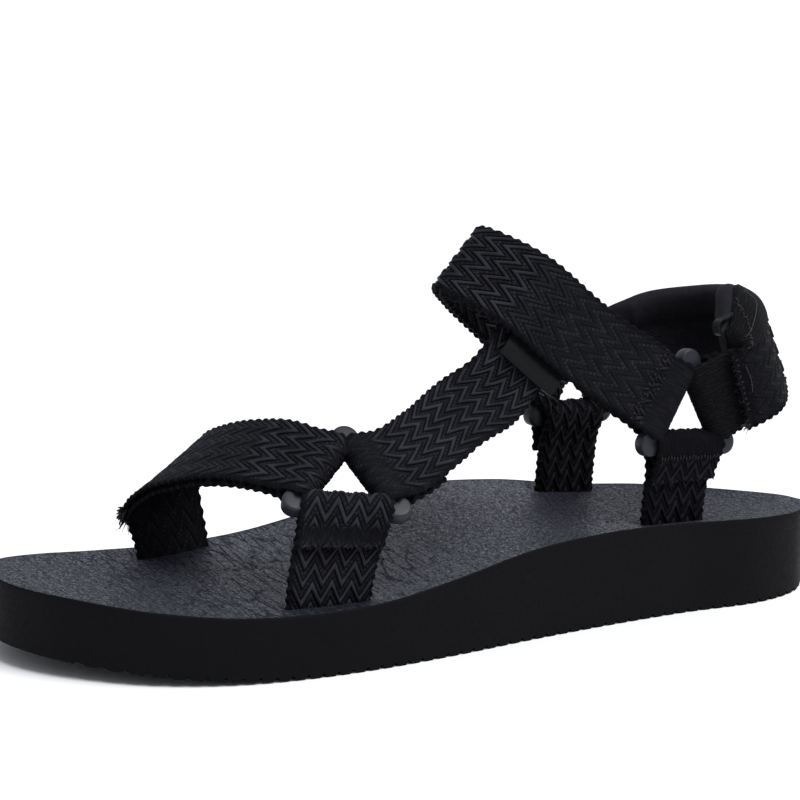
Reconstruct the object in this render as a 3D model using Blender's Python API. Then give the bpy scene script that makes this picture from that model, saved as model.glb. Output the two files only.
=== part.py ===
"""A left sport sandal: a moulded sole carrying webbing straps that three triangular rings join.

The tables below are in millimetres, and a mesh is scaled to metres when it is made. +Z is up and the sole stands
on Z = 0. The toe points to -X and the heel to +X. The outer (lateral) side is -Y, the inner (medial) side +Y.
"""

import math

import bmesh
import bpy
import numpy as np

MM = 0.001
GAP = 0.3  # clearance between pieces that touch on the real sandal

# Sole
SOLE_LENGTH = 266.0
OUTSOLE_THICKNESS = 4.0
FOOTBED_THICKNESS = 2.5
TOE_SPRING = 5.9
TOE_SPRING_START = 0.70
HEEL_LIFT = 0.8
HEEL_LIFT_END = 0.05
HEEL_CUP_DEPTH = 1.6
HEEL_CUP_END = 0.55
HEEL_CUP_EASE = 0.2
BALL_DISH_DEPTH = 0.5
DISH_FADE = 0.08
TREAD_PITCH = 4.5
TREAD_GROOVE_WIDTH = 2.2
TREAD_GROOVE_DEPTH = 1.3
TREAD_END_ROWS = 7
TREAD_END_REACH = 0.8  # of the distance from an end to its first groove
SOLE_ROWS = 37
SOLE_SPANS = 8

# Webbing and the slots that it goes into
WEB_WIDTH = 24.0
WEB_THICKNESS = 2.2
WEB_EDGE = 0.7
WRAP_WIDTH = 13.5  # webbing gathers where it goes round a bar
WRAP_THICKNESS = 1.6
WRAP_GAP = 0.55
BAR_WIDTH = 20.4
SLOT_CLEARANCE = 0.5
SLOT_DEPTH = 10.0

# Triangular rings
RING_SIDE = 28.0  # between the points where the middles of two bars meet
RING_BAR_RADIUS = 2.0
RING_LOBE_RADIUS = 3.5  # how far a corner reaches past the meeting point of its bars
RING_HOLE_RADIUS = 0.3
RING_TURNS_DEG = (-60, -36, -14, 14, 36, 60)
RING_SIDES = 8
RING_SQUARENESS = 0.75  # below 1, the bar's section is a rounded square

# Keeper loop on the end of the diagonal strap
KEEPER_THICKNESS = 1.0
KEEPER_WIDTH = 20.0
KEEPER_LEG = 6.5
KEEPER_BULGE = 1.2
KEEPER_STATIONS = 5
KEEPER_WAIST = 18.0  # width of the instep strap's lower layer inside the keeper
KEEPER_HUMP = ((0.0, 0.15), (0.22, 0.8), (0.45, 1.0), (0.7, 0.6), (0.93, 0.0))  # share of the leg, of the bulge

# Padded heel collar
PAD_RIM_RADIUS = 3.2
PAD_RIM_TURNS_DEG = (0, 45, 90, 135)
PAD_BELOW = 12.5
PAD_END_TAPER = 12.0
PAD_END_SHARE = 0.45  # of the thickness, at the collar's two ends
PAD_STATIONS = 29

# Height of the collar's rim over the heel strap's middle, by the share of the way round from the lateral ring
PAD_RIM_COLUMNS = ("share", "above")
PAD_RIM = ((0.0, 10.5), (0.11, 18.5), (0.25, 26.0), (0.42, 19.5), (0.6, 16.2), (0.8, 16.0), (1.0, 16.5))

# The collar's inner face: the thickness at a depth below the rolled rim, then at a height over the lower edge
PAD_FACE = ((4.0, 6.2), (6.5, 3.7), (9.5, 4.6))
PAD_FOOT = ((6.5, 5.0), (2.0, 3.7), (0.0, 1.7), (1.0, 0.0))

# One row for each section of the sole, from the heel's back to the toe's tip: its place along the sole, the
# distance from the long axis to each edge, and the height of each upper edge above the floor.
SOLE_COLUMNS = ("place", "lateral", "medial", "lateral_top", "medial_top")
SOLE_SECTIONS = (
    (0.00, 0.6, 0.6, 22.3, 22.3),
    (0.03, 14.4, 13.5, 23.6, 22.6),
    (0.08, 26.2, 23.6, 24.9, 23.2),
    (0.15, 32.0, 29.4, 25.9, 24.7),
    (0.25, 32.1, 30.2, 26.7, 26.9),
    (0.36, 34.4, 30.0, 27.3, 30.7),
    (0.47, 38.1, 28.9, 25.7, 31.6),
    (0.57, 42.4, 33.0, 21.6, 26.4),
    (0.66, 45.2, 40.9, 18.3, 19.6),
    (0.74, 45.8, 45.2, 17.4, 17.0),
    (0.82, 43.5, 45.8, 17.9, 17.2),
    (0.90, 34.7, 41.8, 19.6, 19.0),
    (0.96, 19.7, 32.2, 21.4, 21.1),
    (1.00, -6.3, 8.1, 22.7, 22.7),
)

# Where each strap goes into the sole, and which way its width runs there
SLOT_COLUMNS = ("x", "y", "heading_deg")
SLOTS = {
    "lateral_front": (-56.5, -36.0, -8.0),
    "medial_front": (-66.5, 36.5, 8.0),
    "lateral_rear": (66.5, -23.5, 6.0),
    "medial_rear": (60.0, 22.5, 10.0),
}

# Each ring's middle, the heading of its bottom bar, its lean over the foot and its turn in its own plane
RING_COLUMNS = ("x", "y", "z", "heading_deg", "lean_deg", "roll_deg", "side")
RINGS = {
    "front_ring": (-47.2, -27.7, 47.1, -20.0, 52.0, -6.0, -1),
    "lateral_rear_ring": (69.5, -24.0, 57.0, 2.0, 5.0, -3.0, -1),
    "medial_rear_ring": (62.5, 24.0, 58.5, 9.0, 5.0, -2.0, 1),
}

# Straps between the rings: one row for each bend, with the middle of the strap and the way its width runs there
STRAP_COLUMNS = ("x", "y", "z", "across_x", "across_y", "across_z")
TOE_STRAP_BENDS = (
    (-58.5, -11.5, 52.5, 0.74, 0.33, 0.58),
    (-63.8, 3.0, 51.5, 0.78, 0.29, 0.55),
    (-67.9, 16.5, 48.0, 0.80, 0.20, 0.56),
    (-69.5, 29.5, 42.5, 0.84, 0.10, 0.53),
    (-69.0, 39.0, 32.0, 0.95, 0.05, 0.30),
)
INSTEP_STRAP_BENDS = (
    (35.5, -18.0, 80.0, 0.62, 0.00, 0.78),
    (15.0, -10.0, 97.0, 0.66, 0.04, 0.75),
    (6.0, 0.0, 102.0, 0.71, 0.10, 0.70),
    (15.5, 10.0, 96.5, 0.66, 0.04, 0.75),
    (35.0, 17.0, 82.5, 0.62, 0.00, 0.78),
)
HEEL_STRAP_BENDS = (
    (85.0, -26.5, 64.5, -0.32, 0.04, 0.95),
    (95.0, -24.0, 67.2, -0.34, 0.10, 0.93),
    (102.9, -16.5, 70.5, -0.34, 0.12, 0.93),
    (107.8, -8.0, 73.8, -0.36, 0.06, 0.93),
    (109.6, 0.0, 75.2, -0.36, 0.00, 0.93),
    (108.8, 8.0, 75.8, -0.36, -0.06, 0.93),
    (103.0, 17.0, 75.1, -0.32, -0.10, 0.94),
    (92.0, 24.5, 72.2, -0.28, -0.06, 0.96),
    (80.0, 26.5, 67.0, -0.32, -0.02, 0.95),
)

# Lengths along the straps
LOOP_TURN_BACK = 11.0
SEWN_TURN_BACK = 18.0
LAYER_TAPER = 9.0
BAR_TAPER = 5.4
HEEL_TURN_BACK = 8.0
PAD_START = 11.0
TOE_FLAP_END = -2.0  # the folded-back end stops this far before the last bend of the toe strap
INSTEP_FLAP_STOP = 9.0
INSTEP_SETTLE = 23.0
DIAGONAL_LEAD = 8.0
DIAGONAL_SHIFT = 3.4
DIAGONAL_END_WIDTH = 21.5
DIAGONAL_TILT = 1.1  # turns the strap's middle to lie over the foot
DIAGONAL_MOUTH = 3.0
DIAGONAL_HELD = 7.2
HEEL_TAB_LENGTH = 42.0
HEEL_FLAP_START = 9.0
HEEL_FLAP_SETTLE = 30.0
KEEPER_EASE = 6.0
KEEPER_PLACE = 0.58  # share of the way from the instep strap's ring to its top
STATION_STEP = 6.0
LOOP_STATION_STEP = 4.0
STRAP_DEPTH = SLOT_DEPTH - 1.5  # how far a strap goes down into its slot

# Base colour, roughness and metallic value of each material
FINISHES = {
    "sole_foam": ((0.010, 0.010, 0.012), 0.75, 0.0),
    "footbed_grain": ((0.045, 0.047, 0.053), 0.55, 0.0),
    "outsole_rubber": ((0.010, 0.010, 0.011), 0.70, 0.0),
    "webbing": ((0.012, 0.012, 0.013), 0.80, 0.0),
    "ring_plastic": ((0.060, 0.065, 0.075), 0.40, 0.0),
    "keeper_tape": ((0.014, 0.017, 0.018), 0.50, 0.0),
    "heel_lining": ((0.010, 0.010, 0.012), 0.90, 0.0),
}


# Small tools


def unit(vector):
    vector = np.asarray(vector, float)
    return vector / np.linalg.norm(vector)


def curve_through(knots, values, places):
    """Read a smooth curve through the table's values (one or more columns) at each place."""
    knots, values = np.asarray(knots, float), np.asarray(values, float)
    places = np.asarray(places, float)
    steps = np.diff(knots)
    rises = (np.diff(values, axis=0).T / steps).T
    slopes = np.empty_like(values)
    slopes[0], slopes[-1] = rises[0], rises[-1]
    before, after = steps[:-1], steps[1:]
    slopes[1:-1] = ((rises[:-1].T * after + rises[1:].T * before) / (before + after)).T
    span = np.clip(np.searchsorted(knots, places, side="right") - 1, 0, len(steps) - 1)
    width = steps[span]
    u = (places - knots[span]) / width
    weights = (2 * u**3 - 3 * u**2 + 1, (u**3 - 2 * u**2 + u) * width, 3 * u**2 - 2 * u**3, (u**3 - u**2) * width)
    parts = (values[span], slopes[span], values[span + 1], slopes[span + 1])
    return sum((part.T * weight).T for part, weight in zip(parts, weights))


def ease(share):
    """0 to 1 with a level start and end."""
    share = np.clip(share, 0.0, 1.0)
    return share * share * (3 - 2 * share)


def material(name):
    made = bpy.data.materials.get(name)
    if made is None:
        colour, roughness, metallic = FINISHES[name]
        made = bpy.data.materials.new(name)
        made.use_nodes = True
        shader = made.node_tree.nodes["Principled BSDF"]
        shader.inputs["Base Color"].default_value = (*colour, 1.0)
        shader.inputs["Roughness"].default_value = roughness
        shader.inputs["Metallic"].default_value = metallic
    return made


def add_object(name, points, faces, finish=None):
    """Make one object from points in millimetres; without a finish it is a hidden cutter."""
    mesh = bpy.data.meshes.new(name)
    mesh.from_pydata([tuple(p) for p in np.asarray(points) * MM], [], faces)
    tidy = bmesh.new()
    tidy.from_mesh(mesh)
    bmesh.ops.recalc_face_normals(tidy, faces=tidy.faces)
    tidy.to_mesh(mesh)
    tidy.free()
    made = bpy.data.objects.new(name, mesh)
    bpy.context.scene.collection.objects.link(made)
    if finish is None:
        made.hide_render = True
        made.display_type = "WIRE"
    else:
        mesh.materials.append(material(finish))
        mesh.shade_smooth()
        mesh.set_sharp_from_angle(angle=math.radians(35))
    return made


def tube_faces(stations, sides, closed=False):
    """Faces of a tube whose stations each hold `sides` points; an open tube gets flat caps."""
    faces = []
    for i in range(stations if closed else stations - 1):
        here, there = i * sides, (i + 1) % stations * sides
        for j in range(sides):
            k = (j + 1) % sides
            faces.append((here + j, here + k, there + k, there + j))
    if not closed:
        last = (stations - 1) * sides
        faces.append(tuple(range(sides - 1, -1, -1)))
        faces.append(tuple(range(last, last + sides)))
    return faces


# Sole


def sole_row(places):
    """The sole's sections at these places, as a dict of columns. The ends are round, so an angle measures them."""
    table = np.array(SOLE_SECTIONS)
    angles = np.arccos(1 - 2 * table[:, 0])
    read = curve_through(angles, table[:, 1:], np.arccos(1 - 2 * np.asarray(places, float)))
    return dict(zip(SOLE_COLUMNS[1:], read.T))


def place_of(x):
    return 0.5 - np.asarray(x, float) / SOLE_LENGTH


def ground_height(places):
    toe = np.clip((places - TOE_SPRING_START) / (1 - TOE_SPRING_START), 0, None)
    heel = np.clip(1 - places / HEEL_LIFT_END, 0, None)
    return TOE_SPRING * toe**2 + HEEL_LIFT * heel**2


def top_height(places, share):
    """Height of the footbed; share runs from 0 at the lateral edge to 1 at the medial edge."""
    row = sole_row(places)
    dish = BALL_DISH_DEPTH + (HEEL_CUP_DEPTH - BALL_DISH_DEPTH) * ease((HEEL_CUP_END - places) / HEEL_CUP_EASE)
    dish = dish * ease(np.minimum(places, 1 - places) / DISH_FADE)
    edge = row["lateral_top"] + (row["medial_top"] - row["lateral_top"]) * ease(share)
    return edge - dish * (1 - (2 * share - 1) ** 2)


def footbed_at(x, y):
    place = place_of(x)
    row = sole_row([place])
    share = (y + row["lateral"][0]) / (row["lateral"][0] + row["medial"][0])
    return float(top_height(np.array([place]), np.array([share]))[0])


def sole_layer(name, places, spans, low, high, finish):
    """A layer of the sole between two height functions of (place, share)."""
    row = sole_row(places)
    shares = np.linspace(0, 1, spans + 1)
    sides = 2 * (spans + 1)
    points = []
    for i, place in enumerate(places):
        y = -row["lateral"][i] + (row["lateral"][i] + row["medial"][i]) * shares
        x = np.full_like(y, SOLE_LENGTH * (0.5 - place))
        at = np.full_like(y, place)
        points.append(np.stack([x, y, low(at, shares)], 1))
        points.append(np.stack([x, y, high(at, shares)], 1)[::-1])
    return add_object(name, np.concatenate(points), tube_faces(len(places), sides), finish)


def round_places(count):
    """Places along the sole, closer together towards its round ends."""
    return 0.5 - 0.5 * np.cos(np.linspace(0, math.pi, count))


def tread_places():
    """Places of the tread: each groove has two edges and a root, and the round ends are closer."""
    grooves = int((SOLE_LENGTH - 4 * TREAD_PITCH) / TREAD_PITCH)
    start = (SOLE_LENGTH - (grooves - 1) * TREAD_PITCH) / 2
    roots = start + TREAD_PITCH * np.arange(grooves)
    half = TREAD_GROOVE_WIDTH / 2
    ends = start * TREAD_END_REACH * 2 * round_places(2 * TREAD_END_ROWS - 1)[:TREAD_END_ROWS]
    along = np.concatenate([ends, roots - half, roots, roots + half, SOLE_LENGTH - ends])
    depth = np.concatenate([0 * ends, 0 * roots, 0 * roots + TREAD_GROOVE_DEPTH, 0 * roots, 0 * ends])
    order = np.argsort(along)
    return along[order] / SOLE_LENGTH, depth[order]


def make_sole():
    places, depth = tread_places()
    sole_layer(
        "outsole",
        places,
        2,
        lambda at, share: ground_height(at) + np.interp(at, places, depth),
        lambda at, share: ground_height(at) + OUTSOLE_THICKNESS,
        "outsole_rubber",
    )
    midsole = sole_layer(
        "midsole",
        round_places(SOLE_ROWS),
        SOLE_SPANS,
        lambda at, share: ground_height(at) + OUTSOLE_THICKNESS + GAP,
        lambda at, share: top_height(at, share) - FOOTBED_THICKNESS - GAP,
        "sole_foam",
    )
    footbed = sole_layer(
        "footbed",
        round_places(SOLE_ROWS),
        SOLE_SPANS,
        lambda at, share: top_height(at, share) - FOOTBED_THICKNESS,
        top_height,
        "footbed_grain",
    )
    for name in SLOTS:
        cutter = slot_cutter(name)
        for layer in (midsole, footbed):
            cut = layer.modifiers.new(name, "BOOLEAN")
            cut.operation = "DIFFERENCE"
            cut.object = cutter


def slot_place(name):
    """The middle of a slot's mouth on the footbed, and the direction that the slot's length runs."""
    slot = dict(zip(SLOT_COLUMNS, SLOTS[name]))
    heading = math.radians(slot["heading_deg"])
    mouth = np.array([slot["x"], slot["y"], footbed_at(slot["x"], slot["y"])])
    return mouth, np.array([math.cos(heading), math.sin(heading), 0.0])


def slot_cutter(name):
    """A box that cuts one strap's slot into the footbed and the foam below it."""
    middle, length = slot_place(name)
    along = length * (WEB_WIDTH / 2 + SLOT_CLEARANCE)
    through = np.cross((0, 0, 1), length) * (WEB_THICKNESS / 2 + SLOT_CLEARANCE)
    corners = (along + through, through - along, -along - through, along - through)
    heights = (-SLOT_DEPTH, SLOT_DEPTH)
    points = [middle + corner + (0, 0, height) for height in heights for corner in corners]
    return add_object(name + "_slot", points, tube_faces(2, 4))


# Rings


class Ring:
    """A triangular ring's place: its three corners and its three bars."""

    def __init__(self, row):
        at = dict(zip(RING_COLUMNS, row))
        heading, lean, roll = (math.radians(at[k]) for k in ("heading_deg", "lean_deg", "roll_deg"))
        along = np.array([math.cos(heading), math.sin(heading), 0.0])
        inward = np.array([math.sin(heading), -math.cos(heading), 0.0]) * at["side"]
        rise = inward * math.sin(lean) + np.array([0, 0, math.cos(lean)])
        self.middle = np.array([at["x"], at["y"], at["z"]])
        self.along = along * math.cos(roll) + rise * math.sin(roll)
        self.rise = rise * math.cos(roll) - along * math.sin(roll)
        self.face = np.cross(self.along, self.rise)
        self.outward = self.face * -at["side"]
        reach = RING_SIDE / math.sqrt(3)
        self.front, self.rear, self.top = (
            self.middle + reach * (math.cos(a) * self.along + math.sin(a) * self.rise)
            for a in (math.radians(210), math.radians(330), math.radians(90))
        )
        self.bars = {
            "bottom": (self.front, self.rear),
            "front": (self.front, self.top),
            "rear": (self.rear, self.top),
        }

    def bar(self, name):
        """The bar's middle, the direction along it, and the direction out of the ring across it."""
        start, end = self.bars[name]
        middle = (start + end) / 2
        return middle, unit(end - start), unit(middle - self.middle)


def squared(part):
    """A circle's sine or cosine, drawn out towards a rounded square's."""
    return math.copysign(abs(part) ** RING_SQUARENESS, part)


def make_ring(name, ring):
    """A bar bent into a triangle, swelling at its three corners."""
    reach = RING_SIDE / math.sqrt(3)
    hub_reach = reach - 2 * (RING_BAR_RADIUS + RING_HOLE_RADIUS)
    bar_inner, bar_outer = RING_HOLE_RADIUS, RING_HOLE_RADIUS + 2 * RING_BAR_RADIUS
    lobe_outer = reach + RING_LOBE_RADIUS - hub_reach
    points = []
    for corner in (ring.front, ring.rear, ring.top):
        outward = unit(corner - ring.middle)
        hub = ring.middle + outward * hub_reach
        sideways = np.cross(ring.face, outward)
        for turn in np.radians(RING_TURNS_DEG):
            away = outward * math.cos(turn) + sideways * math.sin(turn)
            outer = bar_outer + (lobe_outer - bar_outer) * math.cos(1.5 * turn) ** 2
            middle, half = (outer + bar_inner) / 2, (outer - bar_inner) / 2
            for side in np.linspace(0, 2 * math.pi, RING_SIDES, endpoint=False):
                spoke = away * (middle + half * squared(math.cos(side)))
                points.append(hub + spoke + ring.face * RING_BAR_RADIUS * squared(math.sin(side)))
    add_object(name, points, tube_faces(len(points) // RING_SIDES, RING_SIDES, closed=True), "ring_plastic")


# Straps


class Spine:
    """A strap's middle line with the way its width runs, and its outer side, at even steps along it."""

    def __init__(self, middles, acrosses, outer, step=STATION_STEP):
        middles, acrosses = np.asarray(middles, float), np.asarray(acrosses, float)
        chords = np.concatenate([[0], np.cumsum(np.linalg.norm(np.diff(middles, axis=0), axis=1))])
        fine = np.linspace(0, chords[-1], 40 * len(middles))
        line = curve_through(chords, np.concatenate([middles, acrosses], 1), fine)
        run = np.concatenate([[0], np.cumsum(np.linalg.norm(np.diff(line[:, :3], axis=0), axis=1))])
        self.length = run[-1]
        self.run, self.line = run, line
        self.step = step
        tangents = np.gradient(line[:, :3], run, axis=0)
        normals = np.cross(line[:, 3:], tangents)
        normals /= np.linalg.norm(normals, axis=1)[:, None]
        if normals[0] @ outer < 0:
            normals = -normals
        self.normals = normals
        self.tangents = tangents / np.linalg.norm(tangents, axis=1)[:, None]

    def read(self, table, where):
        return np.stack([np.interp(where, self.run, column) for column in table.T], -1)

    def middle(self, where):
        return self.read(self.line[:, :3], where)

    def across(self, where):
        across = self.read(self.line[:, 3:], where)
        return across / np.linalg.norm(across, axis=-1, keepdims=True)

    def outward(self, where):
        return self.read(self.normals, where)

    def tangent(self, where):
        return self.read(self.tangents, where)

    def stations(self, start, end):
        """Even steps along the spine from start to end, whichever is larger."""
        count = max(2, int(math.ceil(abs(end - start) / self.step)) + 1)
        return np.linspace(start, end, count)

    def layer(self, where, offset, from_bar=None):
        """A layer lying outside the middle line by an offset: its points, width's direction, width, thickness."""
        points = self.middle(where) + self.outward(where) * np.reshape(offset, (-1, 1))
        gather = np.ones(len(where)) if from_bar is None else ease(from_bar / BAR_TAPER)
        width = BAR_WIDTH + (WEB_WIDTH - BAR_WIDTH) * gather
        thickness = WRAP_THICKNESS + (WEB_THICKNESS - WRAP_THICKNESS) * gather
        return points, self.across(where), width, thickness


WRAP_RADIUS = RING_BAR_RADIUS + WRAP_GAP + WRAP_THICKNESS / 2
LAYER_OFFSET = (WEB_THICKNESS + GAP) / 2


def layer_offset(distance):
    """Half the spacing of two layers: wide round a ring's bar, close once they lie together."""
    return LAYER_OFFSET + (WRAP_RADIUS - LAYER_OFFSET) * (1 - ease(distance / LAYER_TAPER))


def wrap(spine, at_end=False):
    """The half turn of a strap round the bar at one end of its spine, from the inner to the outer layer."""
    where = np.array([spine.length if at_end else 0.0])
    beyond = spine.tangent(where) * (1 if at_end else -1)
    outward = spine.outward(where)
    turns = np.radians(np.arange(30, 180, 30))
    deep = np.sin(turns)
    reach = deep[:, None] * beyond - np.cos(turns)[:, None] * outward
    width = BAR_WIDTH + (WRAP_WIDTH - BAR_WIDTH) * deep
    across = np.repeat(spine.across(where), len(turns), 0)
    return spine.middle(where) + WRAP_RADIUS * reach, across, width, np.full(len(turns), WRAP_THICKNESS)


def join(*pieces):
    return tuple(np.concatenate(parts) for parts in zip(*pieces))


def strap_bends(table):
    """The middles of a strap's bends, and the way its width runs at each."""
    rows = np.array(table)
    split = STRAP_COLUMNS.index("across_x")
    return rows[:, :split], rows[:, split:]


def make_band(name, points, acrosses, width, thickness):
    """A flat band of webbing along its middle points, six-sided so that its two edges are thinner."""
    tangents = np.gradient(points, axis=0)
    normals = np.cross(acrosses, tangents)
    normals /= np.linalg.norm(normals, axis=1)[:, None]
    half, thick = width[:, None] / 2, thickness[:, None] / 2
    flat = half - WEB_EDGE
    outline = ((half, 0), (flat, 1), (-flat, 1), (-half, 0), (-flat, -1), (flat, -1))
    rings = [points + acrosses * a + normals * thick * b for a, b in outline]
    add_object(name, np.stack(rings, 1).reshape(-1, 3), tube_faces(len(points), len(outline)), "webbing")


def make_loop(name, ring, slot):
    """A strap that comes up out of the sole, goes round the ring's bottom bar and is sewn back on its outside."""
    bar, across, _ = ring.bar("bottom")
    root, slot_across = slot_place(slot)
    slot_out = np.cross(slot_across, (0, 0, 1))
    slot_out = slot_out if slot_out @ ring.outward > 0 else -slot_out
    entry = root + slot_out * LAYER_OFFSET
    middles = (bar, entry, entry - (0, 0, STRAP_DEPTH))
    spine = Spine(middles, (across, slot_across, slot_across), ring.outward, LOOP_STATION_STEP)
    inner = spine.stations(spine.length, 0.0)
    outer = spine.stations(0.0, LOOP_TURN_BACK)
    path = join(
        spine.layer(inner, -layer_offset(inner), inner),
        wrap(spine),
        spine.layer(outer, layer_offset(outer), outer),
    )
    make_band(name, *path)


def make_toe_strap(ring):
    """Comes up from the medial slot, over the toes, round the front ring and back over itself as a flap."""
    bar, across, _ = ring.bar("front")
    root, slot_across = slot_place("medial_front")
    bends, bend_acrosses = strap_bends(TOE_STRAP_BENDS)
    entry = root + (0, LAYER_OFFSET, 0)
    middles = (bar, *bends, entry, entry - (0, 0, STRAP_DEPTH))
    spine = Spine(middles, (across, *bend_acrosses, slot_across, slot_across), ring.outward)
    last_bend = spine.run[np.argmin(np.linalg.norm(spine.line[:, :3] - bends[-1], axis=1))]
    inner = spine.stations(spine.length, 0.0)
    outer = spine.stations(0.0, last_bend - TOE_FLAP_END)
    path = join(
        spine.layer(inner, -layer_offset(inner), inner),
        wrap(spine),
        spine.layer(outer, layer_offset(outer), outer),
    )
    make_band("toe_strap", *path)


def instep_spine(near, far):
    bends, acrosses = strap_bends(INSTEP_STRAP_BENDS)
    near_bar, near_across, _ = near.bar("front")
    far_bar, far_across, _ = far.bar("front")
    return Spine((near_bar, *bends, far_bar), (near_across, *acrosses, far_across), near.outward)


def inside_keeper(spine, where):
    """1 where the keeper lies on the instep strap, easing to 0 a little way outside it."""
    distance = np.abs(where - keeper_station(spine))
    return 1 - ease((distance - KEEPER_WIDTH / 2 - 1) / KEEPER_EASE)


def keeper_swell(spine, where):
    """Extra half spacing of the instep strap's layers where the keeper lies between them."""
    return (KEEPER_THICKNESS + 2 * GAP) / 2 * inside_keeper(spine, where)


def keeper_station(spine):
    return KEEPER_PLACE * spine.length / 2


def settled(distance):
    """0 by the lateral ring, where the sewn end makes a third layer, and 1 once there are two layers."""
    return ease((distance - LAYER_TAPER) / INSTEP_SETTLE)


def make_instep_strap(spine):
    """Sewn round the lateral ring, over the instep, round the medial ring and back on top as a flap."""
    near_end = spine.stations(SEWN_TURN_BACK, 0.0)
    lower = spine.stations(0.0, spine.length)
    upper = spine.stations(spine.length, INSTEP_FLAP_STOP)
    layer_step = WEB_THICKNESS + GAP
    lower_offset = np.where(
        lower < spine.length / 2,
        layer_offset(lower) - layer_step * settled(lower),
        -layer_offset(spine.length - lower),
    ) - keeper_swell(spine, lower)
    upper_offset = layer_offset(spine.length - upper) + layer_step * (1 - settled(upper)) + keeper_swell(spine, upper)
    lower_layer = spine.layer(lower, lower_offset, np.minimum(lower, spine.length - lower))
    lower_layer[2][:] -= (WEB_WIDTH - KEEPER_WAIST) * inside_keeper(spine, lower)
    path = join(
        spine.layer(near_end, -layer_offset(near_end) - layer_step * settled(near_end), near_end),
        wrap(spine),
        lower_layer,
        wrap(spine, at_end=True),
        spine.layer(upper, upper_offset, spine.length - upper),
    )
    make_band("instep_strap", *path)


def keeper_outline():
    """The keeper's section: outline points as (place across the instep strap, height over its lower layer)."""
    inner = WEB_THICKNESS / 2 + 1.5 * GAP
    outer = inner + KEEPER_THICKNESS
    edge = WEB_WIDTH / 2
    front, rear = -edge - KEEPER_LEG, KEEPER_WAIST / 2 + GAP
    turns = np.radians((60, 30, 0, -30, -60))

    def side(height):
        humps = [(front + KEEPER_LEG * share, height + KEEPER_BULGE * rise) for share, rise in KEEPER_HUMP]
        fold = [(rear + height * math.cos(a), height * math.sin(a)) for a in turns]
        return humps + [(rear, height)] + fold + [(rear, -height), (front, -height)]

    return side(outer) + side(inner)[::-1]


def make_keeper(spine):
    """A smooth tape folded round the instep strap's lower layer; its legs hold the diagonal strap's end."""
    middle = keeper_station(spine)
    where = middle + KEEPER_WIDTH * np.linspace(-0.5, 0.5, KEEPER_STATIONS)
    line = spine.layer(where, -LAYER_OFFSET - keeper_swell(spine, where))[0]
    across, outward = spine.across(where), spine.outward(where)
    outline = keeper_outline()
    points = np.stack([line + across * a + outward * b for a, b in outline], 1).reshape(-1, 3)
    add_object("strap_keeper", points, tube_faces(len(where), len(outline)), "keeper_tape")
    half_way = KEEPER_STATIONS // 2
    front = line[half_way] - across[half_way] * (WEB_WIDTH / 2 + KEEPER_LEG)
    return front, across[half_way], spine.tangent(where)[half_way]


def make_diagonal_strap(ring, keeper):
    """Sewn round the front ring and held at its other end in the keeper."""
    bar, across, out = ring.bar("rear")
    end, keeper_across, keeper_along = keeper
    lead = bar + out * DIAGONAL_LEAD
    end = end + keeper_along * DIAGONAL_SHIFT
    mouth = end - keeper_across * DIAGONAL_MOUTH
    held = end + keeper_across * DIAGONAL_HELD
    end_across = keeper_along if keeper_along @ across > 0 else -keeper_along
    half_across = unit(across + end_across + (0, DIAGONAL_TILT, 0))
    middles = (bar, lead, (lead + mouth) / 2, mouth, end, held)
    acrosses = (across, across, half_across, end_across, end_across, end_across)
    spine = Spine(middles, acrosses, ring.outward)
    inner = spine.stations(SEWN_TURN_BACK, 0.0)
    outer = spine.stations(0.0, spine.length)
    settle = 1 - ease((outer - SEWN_TURN_BACK) / LAYER_TAPER)
    outer_layer = spine.layer(outer, layer_offset(outer) * settle, outer)
    outer_layer[2][:] -= (WEB_WIDTH - DIAGONAL_END_WIDTH) * ease(outer / spine.length)
    path = join(spine.layer(inner, -layer_offset(inner), inner), wrap(spine), outer_layer)
    make_band("diagonal_strap", *path)


def heel_spine(near, far):
    bends, acrosses = strap_bends(HEEL_STRAP_BENDS)
    near_bar, near_across, _ = near.bar("rear")
    far_bar, far_across, _ = far.bar("rear")
    return Spine((near_bar, *bends, far_bar), (near_across, *acrosses, far_across), near.outward)


def make_heel_tab(spine):
    """A short strap on the lateral ring that the heel strap's flap closes on."""
    inner = spine.stations(HEEL_TURN_BACK, 0.0)
    outer = spine.stations(0.0, HEEL_TAB_LENGTH)
    path = join(
        spine.layer(inner, -layer_offset(inner), inner),
        wrap(spine),
        spine.layer(outer, layer_offset(outer), outer),
    )
    make_band("heel_tab", *path)


def make_heel_strap(spine):
    """A flap over the heel tab, round the heel and sewn round the medial ring."""
    outer = spine.stations(HEEL_FLAP_START, spine.length)
    lift = (WEB_THICKNESS + 2 * GAP) * (1 - ease((outer - HEEL_TAB_LENGTH) / HEEL_FLAP_SETTLE))
    inner = spine.stations(spine.length, spine.length - HEEL_TURN_BACK)
    turn = tuple(part[::-1] for part in wrap(spine, at_end=True))
    clear = np.maximum(layer_offset(spine.length - outer), layer_offset(outer))
    path = join(
        spine.layer(outer, clear + lift, spine.length - outer),
        turn,
        spine.layer(inner, -layer_offset(spine.length - inner), spine.length - inner),
    )
    make_band("heel_strap", *path)


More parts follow.
